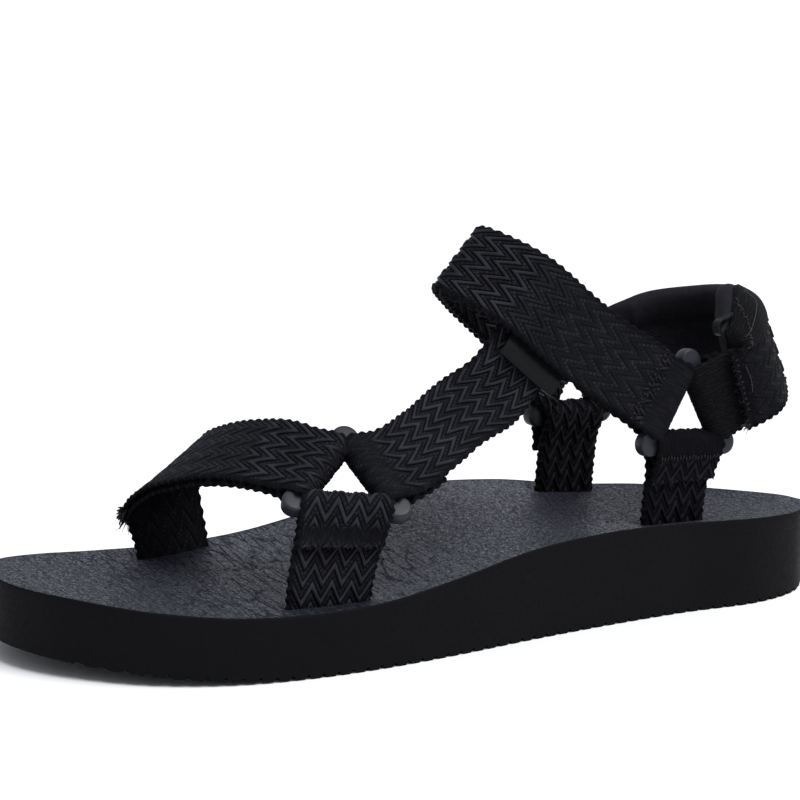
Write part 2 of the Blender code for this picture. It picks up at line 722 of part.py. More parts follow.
def make_heel_pad(spine):
    """The padded collar inside the heel strap, with a rolled upper rim."""
    start, end = PAD_START, spine.length - PAD_START
    where = np.linspace(start, end, PAD_STATIONS)
    outer_face = LAYER_OFFSET - WEB_THICKNESS / 2 - 2 * GAP
    table = dict(zip(PAD_RIM_COLUMNS, np.array(PAD_RIM).T))
    rim = curve_through(table["share"], table["above"], where / spine.length) - PAD_RIM_RADIUS
    roll = [
        (rim + PAD_RIM_RADIUS * math.sin(a), PAD_RIM_RADIUS * (1 - math.cos(a)))
        for a in np.radians(PAD_RIM_TURNS_DEG)
    ]
    face = [(rim - depth, thickness) for depth, thickness in PAD_FACE]
    foot = [(height - PAD_BELOW, thickness) for height, thickness in PAD_FOOT]
    section = roll + face + foot
    taper = np.minimum(1.0, PAD_END_SHARE + np.minimum(where - start, end - where) / PAD_END_TAPER)
    points = []
    for a, inward in section:
        layer = spine.layer(where, outer_face - inward * taper)[0]
        points.append(layer + spine.across(where) * np.reshape(a, (-1, 1)))
    stacked = np.stack(points, 1).reshape(-1, 3)
    add_object("heel_pad", stacked, tube_faces(len(where), len(section)), "heel_lining")


def main():
    for old in list(bpy.data.objects):
        bpy.data.objects.remove(old)
    make_sole()
    rings = {name: Ring(row) for name, row in RINGS.items()}
    for name, ring in rings.items():
        make_ring(name, ring)
    front, near, far = rings["front_ring"], rings["lateral_rear_ring"], rings["medial_rear_ring"]
    make_loop("lateral_front_loop", front, "lateral_front")
    make_loop("lateral_rear_loop", near, "lateral_rear")
    make_loop("medial_rear_loop", far, "medial_rear")
    make_toe_strap(front)
    instep = instep_spine(near, far)
    make_instep_strap(instep)
    make_diagonal_strap(front, make_keeper(instep))
    heel = heel_spine(near, far)
    make_heel_tab(heel)
    make_heel_strap(heel)
    make_heel_pad(heel)


main()
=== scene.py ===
"""The looks of a left sport sandal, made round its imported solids.

Tables are in millimetres, in the part's own frame: +Z is up, the toe points to -X and the heel to +X, the outer
(lateral) side is -Y and the inner (medial) side +Y. A mesh is scaled to metres when it is made.
"""

import math

import bmesh
import bpy
import numpy as np
from mathutils import Matrix, Vector

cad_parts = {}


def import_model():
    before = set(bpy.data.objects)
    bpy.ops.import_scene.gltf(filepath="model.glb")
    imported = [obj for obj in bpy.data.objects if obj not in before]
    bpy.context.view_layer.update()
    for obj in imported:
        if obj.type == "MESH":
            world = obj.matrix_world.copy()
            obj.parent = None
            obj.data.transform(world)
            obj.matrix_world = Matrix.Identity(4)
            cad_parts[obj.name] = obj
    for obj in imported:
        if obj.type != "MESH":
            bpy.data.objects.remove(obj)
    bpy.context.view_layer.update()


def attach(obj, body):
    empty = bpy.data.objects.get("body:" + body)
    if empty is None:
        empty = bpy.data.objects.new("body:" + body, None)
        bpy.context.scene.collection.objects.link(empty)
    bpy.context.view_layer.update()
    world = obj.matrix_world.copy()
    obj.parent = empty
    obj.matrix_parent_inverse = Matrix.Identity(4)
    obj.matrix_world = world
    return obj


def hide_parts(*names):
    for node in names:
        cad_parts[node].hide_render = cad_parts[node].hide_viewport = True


MM = 0.001
SEED = 11
GAP = 0.3

# Sole
SOLE_LENGTH = 266.0
OUTSOLE_THICKNESS = 4.0
FOOTBED_THICKNESS = 2.5
FOOTBED_EDGE = 0.45
EDGE_ROUND = ((1.0, 0.0), (0.3, 0.3), (0.02, 1.0))  # its rounding: drop and inset, as shares of the edge
EDGE_FLAT = 1.6  # how far in the flat top starts, as a share of the edge
TOE_SPRING = 5.9
TOE_SPRING_START = 0.70
HEEL_LIFT = 0.8
HEEL_LIFT_END = 0.05
HEEL_CUP_DEPTH = 1.6
HEEL_CUP_END = 0.55
HEEL_CUP_EASE = 0.2
BALL_DISH_DEPTH = 0.5
DISH_FADE = 0.08
TREAD_PITCH = 4.5
TREAD_GROOVE_WIDTH = 2.2
TREAD_GROOVE_DEPTH = 1.3
TREAD_END_ROWS = 7
TREAD_END_REACH = 0.8
TREAD_SPANS = 24
STRAP_DEPTH = 8.5
SLOT_DENT = 0.7
SLOT_DENT_REACH = 2.6
SOLE_ROWS = 301
SOLE_SPANS = 72

# Main creases of the footbed: the middle of each, its length and its depth. They run across the foot.
CREASE_TURN_DEG = 19.0
CREASE_HALF_WIDTH = 1.3
CREASE_WAVE = 0.6
CREASE_WAVE_TURN = 0.35
CREASE_COLUMNS = ("x", "y", "length", "depth")
CREASES = (
    (-88.0, 6.0, 20.0, 0.20),
    (-80.5, -4.0, 24.0, 0.26),
    (-74.0, 8.0, 18.0, 0.22),
    (-70.5, -10.0, 26.0, 0.30),
    (-64.0, 2.0, 30.0, 0.34),
    (-58.5, -14.0, 20.0, 0.28),
    (-54.0, 8.0, 28.0, 0.34),
    (-48.0, -5.0, 24.0, 0.30),
    (-42.5, 12.0, 26.0, 0.28),
    (-38.0, -12.0, 20.0, 0.26),
    (-31.0, 4.0, 24.0, 0.24),
    (-22.0, -6.0, 18.0, 0.18),
)

# Webbing
WEB_WIDTH = 24.0
WEB_THICKNESS = 2.2
WRAP_WIDTH = 24.0
WRAP_THICKNESS = 1.6
FAR_FOLD = 6.0  # how much wider the instep strap's fold is at the medial ring
WRAP_GAP = 0.55
BAR_WIDTH = 24.6
WEAVE_REPEAT = 5.9
WEAVE_TEETH = 4
WEAVE_SWING = 3.0  # half of the zigzag's reach along the strap
ROWS_PER_REPEAT = 22
COLUMNS_PER_TOOTH = 8
SELVEDGE = 0.9
SCALLOP = 0.5
WOBBLE = 0.34  # how far the yarns wander along the strap
WOBBLE_TURNS = ((0.37, 5.1), (0.23, -2.3))  # of its two waves: per millimetre along, per half width across
PATH_STEP = 1.0
SPINE_FINENESS = 40

# Each yarn of one repeat of the weave: where its middle lies along the repeat, its half width and its height
YARNS = (
    (1.25, 1.32, 0.80),
    (4.05, 1.25, 0.38),
)
BEAD_PITCH = 0.58
BEAD_ROWS = (3.30, 4.05)  # where the first two rows of beads lie along the repeat
RIB_PITCH = 1.1
RELIEF_EASE = 1.6
YARN_BASE = 0.50  # how far the ground of the weave lies below the strap's face

# Triangular rings
RING_SIDE = 28.0
RING_BAR_RADIUS = 2.0
RING_LOBE_RADIUS = 3.5
RING_HOLE_RADIUS = 0.3
RING_SQUARENESS = 0.30
RING_LOBE_POWER = 1.3
RING_SIDES = 24
RING_TURNS = 25

# Keeper loop
KEEPER_THICKNESS = 1.0
KEEPER_WIDTH = 20.0
KEEPER_LEG = 6.5
KEEPER_BULGE = 1.2
KEEPER_WAIST = 18.0
KEEPER_UNDER = 2.0
KEEPER_HUMP_ROWS = 12
KEEPER_STATIONS = 25
KEEPER_HUMP = ((0.0, 0.15), (0.22, 0.8), (0.45, 1.0), (0.7, 0.6), (0.93, 0.0))  # share of the leg, of the bulge

# Padded heel collar
PAD_RIM_RADIUS = 3.2
PAD_BELOW = 12.5
PAD_END_TAPER = 12.0
PAD_END_SHARE = 0.45
BINDING_WIDTH = 6.5
PAD_STATIONS = 161
PAD_SMOOTH_ROWS = 5  # rows of the face over the groove, which have no ribs
PAD_RIM_COLUMNS = ("share", "above")
PAD_RIM = ((0.0, 10.5), (0.11, 18.5), (0.25, 26.0), (0.42, 19.5), (0.6, 16.2), (0.8, 16.0), (1.0, 16.5))

# The collar's inner face: the thickness at a depth below the rolled rim, then at a height over the lower edge
PAD_FACE = ((0.0, 6.4), (2.0, 6.5), (4.0, 6.2), (5.3, 5.1), (6.5, 3.7), (7.6, 4.1), (9.5, 4.6))
PAD_FOOT = ((6.5, 5.0), (4.0, 4.5), (2.0, 3.7), (0.6, 2.6), (0.0, 1.7), (0.2, 0.8), (1.0, 0.0))

# Tape from the heel strap's upper edge to the collar's rim, over the collar's outer side
COVER_OVERLAP = 1.2
COVER_BELOW_RIM = 1.2
COVER_ROWS = 9
COVER_LEAD = 0.5
COVER_THICKNESS = 0.5
COVER_PROUD = 0.35
COVER_START = 3.5  # how soon the tape stands out to the strap's face

# The binding's end, curled up by the near end of the rim: places along the heel and up, from the curl's middle
LIP_PLACE = (12.0, 18.7)
LIP_DEPTH = (0.1, 3.0)
LIP_THICKNESS = 0.45
LIP_ROWS = 41
LIP_CURL = (
    (4.8, 2.4),
    (3.0, 1.8),
    (1.6, 1.7),
    (0.3, 1.8),
    (-1.0, 1.4),
    (-1.9, 0.1),
    (-1.8, -1.5),
    (-0.7, -2.7),
    (0.8, -2.5),
    (1.4, -1.0),
)

# One row for each section of the sole, from the heel's back to the toe's tip
SOLE_COLUMNS = ("place", "lateral", "medial", "lateral_top", "medial_top")
SOLE_SECTIONS = (
    (0.00, 0.6, 0.6, 22.3, 22.3),
    (0.03, 14.4, 13.5, 23.6, 22.6),
    (0.08, 26.2, 23.6, 24.9, 23.2),
    (0.15, 32.0, 29.4, 25.9, 24.7),
    (0.25, 32.1, 30.2, 26.7, 26.9),
    (0.36, 34.4, 30.0, 27.3, 30.7),
    (0.47, 38.1, 28.9, 25.7, 31.6),
    (0.57, 42.4, 33.0, 21.6, 26.4),
    (0.66, 45.2, 40.9, 18.3, 19.6),
    (0.74, 45.8, 45.2, 17.4, 17.0),
    (0.82, 43.5, 45.8, 17.9, 17.2),
    (0.90, 34.7, 41.8, 19.6, 19.0),
    (0.96, 19.7, 32.2, 21.4, 21.1),
    (1.00, -6.3, 8.1, 22.7, 22.7),
)

# Where each strap goes into the sole, and which way its width runs there
SLOT_COLUMNS = ("x", "y", "heading_deg")
SLOTS = {
    "lateral_front": (-56.5, -36.0, -8.0),
    "medial_front": (-66.5, 36.5, 8.0),
    "lateral_rear": (66.5, -23.5, 6.0),
    "medial_rear": (60.0, 22.5, 10.0),
}

# Each ring's middle, the heading of its bottom bar, its lean over the foot and its turn in its own plane
RING_COLUMNS = ("x", "y", "z", "heading_deg", "lean_deg", "roll_deg", "side")
RINGS = {
    "front_ring": (-47.2, -27.7, 47.1, -20.0, 52.0, -6.0, -1),
    "lateral_rear_ring": (69.5, -24.0, 57.0, 2.0, 5.0, -3.0, -1),
    "medial_rear_ring": (62.5, 24.0, 58.5, 9.0, 5.0, -2.0, 1),
}

# Straps between the rings: the middle of the strap and the way its width runs at each bend
STRAP_COLUMNS = ("x", "y", "z", "across_x", "across_y", "across_z")
TOE_STRAP_BENDS = (
    (-58.5, -11.5, 52.5, 0.74, 0.33, 0.58),
    (-63.8, 3.0, 51.5, 0.78, 0.29, 0.55),
    (-67.9, 16.5, 48.0, 0.80, 0.20, 0.56),
    (-69.5, 29.5, 42.5, 0.84, 0.10, 0.53),
    (-69.0, 39.0, 32.0, 0.95, 0.05, 0.30),
)
INSTEP_STRAP_BENDS = (
    (35.5, -18.0, 80.0, 0.62, 0.00, 0.78),
    (15.0, -10.0, 97.0, 0.66, 0.04, 0.75),
    (6.0, 0.0, 102.0, 0.71, 0.10, 0.70),
    (15.5, 10.0, 96.5, 0.66, 0.04, 0.75),
    (35.0, 17.0, 82.5, 0.62, 0.00, 0.78),
)
HEEL_STRAP_BENDS = (
    (85.0, -26.5, 64.5, -0.32, 0.04, 0.95),
    (95.0, -24.0, 67.2, -0.34, 0.10, 0.93),
    (102.9, -16.5, 70.5, -0.34, 0.12, 0.93),
    (107.8, -8.0, 73.8, -0.36, 0.06, 0.93),
    (109.6, 0.0, 75.2, -0.36, 0.00, 0.93),
    (108.8, 8.0, 75.8, -0.36, -0.06, 0.93),
    (103.0, 17.0, 75.1, -0.32, -0.10, 0.94),
    (92.0, 24.5, 72.2, -0.28, -0.06, 0.96),
    (80.0, 26.5, 67.0, -0.32, -0.02, 0.95),
)

# Lengths along the straps
LOOP_TURN_BACK = 11.0
SEWN_TURN_BACK = 18.0
LAYER_TAPER = 9.0
BAR_TAPER = 5.4
HEEL_TURN_BACK = 8.0
PAD_START = 11.0
TOE_FLAP_END = -2.0
INSTEP_FLAP_STOP = 9.0
INSTEP_SETTLE = 23.0
DIAGONAL_LEAD = 8.0
DIAGONAL_SHIFT = 3.4
DIAGONAL_END_WIDTH = 21.5
DIAGONAL_TILT = 1.1
DIAGONAL_MOUTH = 3.0
DIAGONAL_HELD = 7.2
HEEL_TAB_LENGTH = 42.0
HEEL_FLAP_START = 9.0
HEEL_FLAP_SETTLE = 30.0
KEEPER_EASE = 6.0
KEEPER_PLACE = 0.58

# Where the weave is pressed flat: from and to, along the strap (below 0: back from its end), and what height is left;
# where none is left the colour goes to black, as a painted shadow
FLATTENED = {
    "lateral_front_loop": ((-7.5, -1.2, 0.12),),
    "lateral_rear_loop": ((-18.0, -7.5, 0.08),),
    "medial_rear_loop": ((-18.0, -7.5, 0.08),),
    "instep_strap": ((0.0, 36.0, 0.10), (-50.0, -1.0, 0.55), (-38.0, -1.0, 0.50)),
    "diagonal_strap": ((19.0, 34.5, 0.20),),
    # The toe strap's far part is pressed, and its dimmer cords there are partly pressed weave and partly painted
    # shade
    "toe_strap": ((0.0, 52.0, 0.30), (-90.0, -78.0, 0.40), (-56.0, -1.0, 0.50), (-40.0, -1.0, 0.45)),
    "heel_tab": ((0.0, 70.0, 0.15),),
    # The heel strap's flap end is pressed fully flat and painted black: painted shadow
    "heel_strap": ((0.0, 4.2, 0.0), (4.2, 34.0, 0.24)),
}

# Straps whose webbing is ribbed or a darker copy with painted shade, and straps whose weave is shorter along them
WEB_FINISHES = {
    "lateral_rear_loop": "shaded_web",
    "medial_rear_loop": "shaded_web",
    "heel_strap": "shaded_web",
    "heel_tab": "ribbed",
}
STRETCH = {"lateral_front_loop": 0.85, "lateral_rear_loop": 0.85, "medial_rear_loop": 0.85}

# Looks. Colours are linear red, green and blue, and the scale of a noise is per metre
BLACK = (0.0007, 0.0007, 0.0010)
MIDDLE_HALF = (0.3, 0.7)  # the range that most of a noise's values lie in
RANGE_SOCKETS = ("Value", "From Min", "From Max", "To Min", "To Max")

# Clouded finishes: the range of roughness, the clouds' scale and colours, the skin's scale, detail and roughness, and
# the depth in millimetres and strength of its relief
PLAIN_COLUMNS = ("finish", "roughness", "specular", "cloud", "dark", "pale", "skin", "relief")
PLAIN_FINISHES = {
    "foam": (
        "sole_foam", (0.60, 0.74), 0.07, 45.0,
        (0.0028, 0.0028, 0.0034), (0.0044, 0.0044, 0.0052), (900.0, 3.0, 0.6), (0.05, 0.5),
    ),
    "keeper": (
        "keeper_tape", (0.42, 0.52), 0.12, 90.0,
        (0.0034, 0.0046, 0.0048), (0.0058, 0.0074, 0.0078), (1300.0, 2.0, 0.5), (0.05, 0.5),
    ),
    "binding": (
        "collar_binding", (0.60, 0.60), 0.08, 140.0,
        (0.0055, 0.0064, 0.0074), (0.0112, 0.0125, 0.0145), (1200.0, 2.0, 0.5), (0.06, 0.6),
    ),
}

# Webbing: the finish, the cord's colour and the ground's; the shaded webbing is a darker copy of the webbing, with
# painted shade
# The cord's pale colour is partly the yarn's own and partly painted sheen; the ground's dark colour is partly the
# yarn's own and partly painted shade between the yarns
WEBBINGS = {
    "web": ("webbing", (0.037, 0.0375, 0.0455), (0.0028, 0.0028, 0.0038)),
    "shaded_web": ("shaded_webbing", (0.0160, 0.0160, 0.0205), (0.0017, 0.0017, 0.0025)),
}

# Rings: the finish, its dark and its pale colour; the shaded ring is a darker copy of the plastic, with painted shade
RING_FINISHES = {
    "ring": ("ring_plastic", (0.0135, 0.0152, 0.0210), (0.0215, 0.0240, 0.0320)),
    "shaded_ring": ("shaded_ring_plastic", (0.0050, 0.0056, 0.0078), (0.0085, 0.0095, 0.0128)),
}

# Dark and pale colours of the tapes, ribs and stitches of the lining per millimetre, and the webbing's tint
RIBBED_COLOURS = ((0.0034, 0.0034, 0.0044), (0.0098, 0.0098, 0.0122))
LINING_COLOURS = ((0.0068, 0.0066, 0.0092), (0.0180, 0.0174, 0.0230))
LINING_RIBS = 1.15
LINING_STITCHES = 1.6
WEB_TINT = (0.84, 0.88, 1.0)

# Shares of the weave's repeat where the cord and the beads start, are full, start to end and end
CORD_ZONE = (0.0, 0.07, 0.36, 0.43)
BEAD_ZONE = (0.50, 0.54, 0.85, 0.89)

# Footbed: where its cracks end and start and where it is duller, from and to along the foot in metres
FOOTBED_COLOURS = ((0.0034, 0.0036, 0.0056), (0.0430, 0.0460, 0.0660))
FOOTBED_TINT = (0.72, 0.785, 1.0)
CRACK_TURN_DEG = 8.0
CRACKS_END = (-0.030, 0.0)
CRACKS_START = (-0.105, -0.080)
DULL_TOE = (-0.10, -0.04)
DULL_HEEL = (0.02, 0.08)
DULLNESS = 0.22

# Threads: the finish, its colour and roughness, and the thread's radius and number of sides
THREAD_COLUMNS = ("finish", "colour", "roughness", "radius", "sides")
THREADS = {
    "seam_stitches": ("stitch_thread", (0.0125, 0.0125, 0.015), 0.6, 0.17, 5),
    "frayed_fibres": ("frayed_fibre", (0.014, 0.014, 0.017), 0.6, 0.10, 4),
    "loose_threads": ("loose_thread", (0.060, 0.060, 0.068), 0.5, 0.08, 5),
    "yarn_ends": ("yarn_end", (0.0045, 0.0045, 0.0058), 0.7, 0.32, 5),
}
THREAD_SPECULAR = 0.4
THREAD_TWIST = 2400.0
THREAD_TIP = 0.45  # how thick a thread's ends are, as a share
THREAD_SIDE = (0.31, 0.54, 0.78)  # any direction that no thread runs along

# Rows of stitches: the strap, the distance along it (below 0: back from its end), the shares across it from and to
STITCH_COLUMNS = ("strap", "along", "from_share", "to_share", "count", "reach", "lift")
STITCH_ROWS = (
    ("instep_strap", -1.4, -0.95, 0.95, 15, 0.9, 0.12),
    ("heel_strap", 1.0, -0.5, 0.8, 10, 0.9, 0.2),
    ("lateral_rear_loop", -7.8, -0.9, 0.9, 20, 1.3, 0.2),
)
STITCH_SLANT = 0.25
STITCH_SHIFT = 0.2
STITCH_SINK = 0.1

# Bars of thread up the collar's tape: their count and line, then each one's shift, length, tilt and height
KNOT_COUNT = 24
KNOT_SHARES = (0.02, 0.98)
KNOT_START = 13.0
KNOT_RUN = 9.5
KNOT_SHIFT = 0.5
KNOT_LENGTH = (0.7, 1.5)
KNOT_TILT = 0.05
KNOT_HEIGHT = (0.1, 0.25)

# Fibres out of the straps' cut ends: whether it is the far end, how many, and the length of the longest
LOOPS = ("lateral_front_loop", "lateral_rear_loop", "medial_rear_loop")
LOOP_FRAY = (True, 40, 1.2)
END_FRAYS = (
    ("instep_strap", True, 14, 0.9),
    ("toe_strap", True, 230, 5.0),
    ("heel_strap", False, 60, 1.6),
)
LOOSE_FRAY = (False, 24, 2.8)
LOOSE_FRAY_SHARES = (-1.0, -0.8)
FRAY_SHARES = (-0.98, 0.98)
FRAY_DEPTH = (-1.9, -0.2)
FRAY_ROOT = 0.6
FRAY_REACH = (0.35, 1.0)
FRAY_SWAY = 0.5
FRAY_LIFT = 0.4
FRAY_SAG = 0.3

# Ragged corner of the toe strap's flap: how many yarn ends, how far back they stand, and how far out they reach
TUFT_COUNT = 46
TUFT_SHARE = -0.93
TUFT_SPAN = (-0.3, 4.5)
TUFT_DEPTH = (-1.7, -0.2)
TUFT_REACH = (0.8, 3.6)
TUFT_BEND = 0.4

# Loose thread by the collar: the distance along the heel, the share of the way up the tape, the height over it
LOOSE_THREAD = (
    (30.5, 0.88, 0.3),
    (30.2, 0.60, 0.6),
    (26.0, 0.53, 0.5),
    (21.0, 0.50, 0.5),
    (16.5, 0.46, 0.5),
    (13.4, 0.42, 0.4),
)
LOOSE_POINTS = 25

# A thread that hangs down over the heel strap's front end, with a slight wave
HANGING_SHARES = (0.6, -0.15)
HANGING_POINTS = 9
HANGING_ALONG = 3.8
HANGING_WAVE = 0.3
HANGING_TURN = 9
HANGING_HEIGHT = 0.25

# Camera, as the photograph was taken
CAMERA_LENS = 117.0
CAMERA_SENSOR = 36.0
CAMERA_CLIP = 0.01
CAMERA_DISTANCE = 734.5
CAMERA_TARGET = (-13.73, 0.0, 63.25)
CAMERA_TURN_DEG = 31.72
CAMERA_DROP_DEG = 9.80
CAMERA_ROLL_DEG = 1.61

# Studio: a white floor under a white sky and a wide soft light from above
FLOOR_SIDE = 40.0
FLOOR_COLOUR = (0.92, 0.92, 0.92)
SKY_COLOUR = (0.89, 0.925, 1.0)
SKY_STRENGTH = 0.42
BACKDROP_STRENGTH = 0.95
BACKDROP_REACH = (0.25, 0.85)  # share of the way towards the far side where the backdrop starts, and where it is full
SUN_PLACE = (0.2, -0.45, 1.0)
SUN_STRENGTH = 3.0
SUN_SPREAD_DEG = 45.0


# Small tools


def unit(vector):
    vector = np.asarray(vector, float)
    return vector / np.linalg.norm(vector, axis=-1, keepdims=True)


def curve_through(knots, values, places):
    """Read a smooth curve through the table's values (one or more columns) at each place."""
    knots, values = np.asarray(knots, float), np.asarray(values, float)
    places = np.asarray(places, float)
    steps = np.diff(knots)
    rises = (np.diff(values, axis=0).T / steps).T
    slopes = np.empty_like(values)
    slopes[0], slopes[-1] = rises[0], rises[-1]
    before, after = steps[:-1], steps[1:]
    slopes[1:-1] = ((rises[:-1].T * after + rises[1:].T * before) / (before + after)).T
    span = np.clip(np.searchsorted(knots, places, side="right") - 1, 0, len(steps) - 1)
    width = steps[span]
    u = (places - knots[span]) / width
    weights = (2 * u**3 - 3 * u**2 + 1, (u**3 - 2 * u**2 + u) * width, 3 * u**2 - 2 * u**3, (u**3 - u**2) * width)
    parts = (values[span], slopes[span], values[span + 1], slopes[span + 1])
    return sum((part.T * weight).T for part, weight in zip(parts, weights))


def ease(share):
    """0 to 1 with a level start and end."""
    share = np.clip(share, 0.0, 1.0)
    return share * share * (3 - 2 * share)


def chord_run(points):
    """The distance from the start of a line of points to each of them."""
    return np.concatenate([[0], np.cumsum(np.linalg.norm(np.diff(points, axis=0), axis=1))])


def tube_faces(stations, sides, closed=False):
    """Quads of a tube whose stations each hold `sides` points; an open tube gets flat caps."""
    faces = []
    for i in range(stations if closed else stations - 1):
        here, there = i * sides, (i + 1) % stations * sides
        for j in range(sides):
            k = (j + 1) % sides
            faces.append((here + j, here + k, there + k, there + j))
    if not closed:
        last = (stations - 1) * sides
        faces.append(tuple(range(sides - 1, -1, -1)))
        faces.append(tuple(range(last, last + sides)))
    return faces


def link(thing):
    bpy.context.scene.collection.objects.link(thing)
    return thing


def add_piece(name, points, faces, finishes, uv=None, picks=None, sharp_deg=None, replaces=None):
    """Make one piece that rides on the sandal, from points in millimetres."""
    mesh = bpy.data.meshes.new(name)
    mesh.from_pydata(np.asarray(points, float) * MM, [], faces)
    for finish in finishes:
        mesh.materials.append(finish)
    if picks is not None:
        mesh.polygons.foreach_set("material_index", np.asarray(picks, np.int32))
    if uv is not None:
        layer = mesh.uv_layers.new(name="weave")
        corners = np.empty(len(mesh.loops), np.int32)
        mesh.loops.foreach_get("vertex_index", corners)
        layer.data.foreach_set("uv", np.asarray(uv, np.float32)[corners].ravel())
    tidy = bmesh.new()
    tidy.from_mesh(mesh)
    bmesh.ops.recalc_face_normals(tidy, faces=tidy.faces)
    tidy.to_mesh(mesh)
    tidy.free()
    mesh.shade_smooth()
    if sharp_deg is not None:
        mesh.set_sharp_from_angle(angle=math.radians(sharp_deg))
    piece = link(bpy.data.objects.new(name, mesh))
    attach(piece, "root")
    if replaces is not None:
        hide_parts(replaces)
    return piece


def add_tube(name, sections, finishes, uv=None, closed=False, **more):
    """Make a piece from sections along a line, each a row of points round it."""
    stations, sides = np.shape(sections)[:2]
    points, faces = np.reshape(sections, (-1, 3)), tube_faces(stations, sides, closed)
    return add_piece(name, points, faces, finishes, None if uv is None else np.reshape(uv, (-1, 2)), **more)


def mark_points(mesh, name, values):
    """Give each point of a mesh a number that its material can read."""
    layer = mesh.attributes.new(name, "FLOAT", "POINT")
    layer.data.foreach_set("value", np.asarray(values, np.float32))


# Materials


class Value:
    """A number that a node tree works out at each point. Arithmetic with it adds nodes to the tree."""

    def __init__(self, nodes, socket):
        self.nodes, self.socket = nodes, socket

    def math(self, operation, *others):
        return self.nodes.node("Math", "Value", dict(enumerate((self, *others))), operation=operation)

    def __add__(self, other):
        return self.math("ADD", other)

    def __mul__(self, other):
        return self.math("MULTIPLY", other)

    def most(self, other):
        return self.math("MAXIMUM", other)

    def rest(self):
        """What is missing to 1."""
        return self * -1.0 + 1.0

    def spread(self, low, high, to_low=0.0, to_high=1.0):
        """Map a range smoothly to another range."""
        numbers = dict(zip(RANGE_SOCKETS, (self, low, high, to_low, to_high)))
        return self.nodes.node("MapRange", "Result", numbers, interpolation_type="SMOOTHSTEP")

    def within(self, start, full, fading, end):
        """1 between full and fading, easing to 0 at start and end."""
        return self.spread(start, full) * self.spread(fading, end, 1.0, 0.0)


class Nodes:
    """A node tree built in steps: each call adds nodes and returns the last one's output as a Value."""

    def __init__(self, tree):
        self.tree = tree

    def feed(self, socket, value):
        """Link a value to a socket, or set a constant. Colours are opaque."""
        if isinstance(value, Value):
            self.tree.links.new(value.socket, socket)
        elif socket.type == "RGBA":
            socket.default_value = (*value, 1.0)
        else:
            socket.default_value = value

    def node(self, kind, output, inputs, **settings):
        """Add a node with these settings, feed its inputs by name or number, and return one of its outputs."""
        made = self.tree.nodes.new("ShaderNode" + kind)
        for name, setting in settings.items():
            setattr(made, name, setting)
        for key, value in inputs.items():
            self.feed(made.inputs[key], value)
        return Value(self, made.outputs[output])

    def coordinates(self, kind="Object", scale=(1.0, 1.0, 1.0), turn_deg=0.0):
        """The mesh's own coordinates, turned about Z and then stretched by one scale for each axis."""
        source = self.node("TexCoord", kind, {})
        turned = self.node("Mapping", "Vector", {"Vector": source, "Rotation": (0.0, 0.0, math.radians(turn_deg))})
        return self.node("Mapping", "Vector", {"Vector": turned, "Scale": scale})

    def axis(self, name, kind="Object"):
        return self.node("SeparateXYZ", name, {"Vector": self.coordinates(kind)})

    def mark(self, name):
        """A number that mark_points gave to the mesh."""
        return self.node("Attribute", "Fac", {}, attribute_name=name)

    def noise(self, scale, detail=2.0, roughness=0.5, distortion=0.0, at=None):
        numbers = {"Scale": scale, "Detail": detail, "Roughness": roughness, "Distortion": distortion}
        return self.node("TexNoise", "Fac", {"Vector": at or self.coordinates(), **numbers})

    def cells(self, scale, at):
        """The distance to the nearest edge between cells."""
        return self.node("TexVoronoi", "Distance", {"Vector": at, "Scale": scale}, feature="DISTANCE_TO_EDGE")

    def blend(self, share, first, second):
        return self.node("Mix", 2, {"Factor": share, 6: first, 7: second}, data_type="RGBA")


class Finish(Nodes):
    """A material with one Principled shader."""

    def __init__(self, name, roughness, specular, colour=BLACK):
        self.made = bpy.data.materials.new(name)
        self.made.use_nodes = True
        super().__init__(self.made.node_tree)
        self.shader = self.tree.nodes["Principled BSDF"]
        self.set("Base Color", colour)
        self.set("Roughness", roughness)
        self.set("Specular IOR Level", specular)

    def set(self, socket, value):
        self.feed(self.shader.inputs[socket], value)

    def tint(self, share, dark, pale):
        self.set("Base Color", self.blend(share, dark, pale))

    def bump(self, height, depth_mm, strength):
        inputs = {"Height": height, "Strength": strength, "Distance": depth_mm * MM}
        self.set("Normal", self.node("Bump", "Normal", inputs))


def plain_finish(row):
    """A clouded colour with a fine skin, which may also vary the roughness."""
    look = dict(zip(PLAIN_COLUMNS, row))
    low, high = look["roughness"]
    finish = Finish(look["finish"], low, look["specular"])
    skin = finish.noise(*look["skin"])
    finish.tint(finish.noise(look["cloud"]), look["dark"], look["pale"])
    if high > low:
        finish.set("Roughness", skin.spread(*MIDDLE_HALF, low, high))
    finish.bump(skin, *look["relief"])
    return finish.made


def thread_finish(name, colour, roughness):
    finish = Finish(name, roughness, THREAD_SPECULAR)
    twist = finish.noise(THREAD_TWIST)
    finish.tint(twist, tuple(part / 2 for part in colour), colour)
    finish.bump(twist, 0.05, 0.5)
    return finish.made


def ring_finish(name, dark, pale):
    """Smooth moulded plastic, blue grey, with the faint mottle of a tumbled part."""
    finish = Finish(name, 0.42, 0.26)
    mottle = finish.noise(220.0, detail=3.0)
    finish.tint(mottle, dark, pale)
    finish.set("Roughness", mottle.spread(*MIDDLE_HALF, 0.38, 0.48))
    finish.bump(finish.noise(1500.0), 0.03, 0.35)
    return finish.made


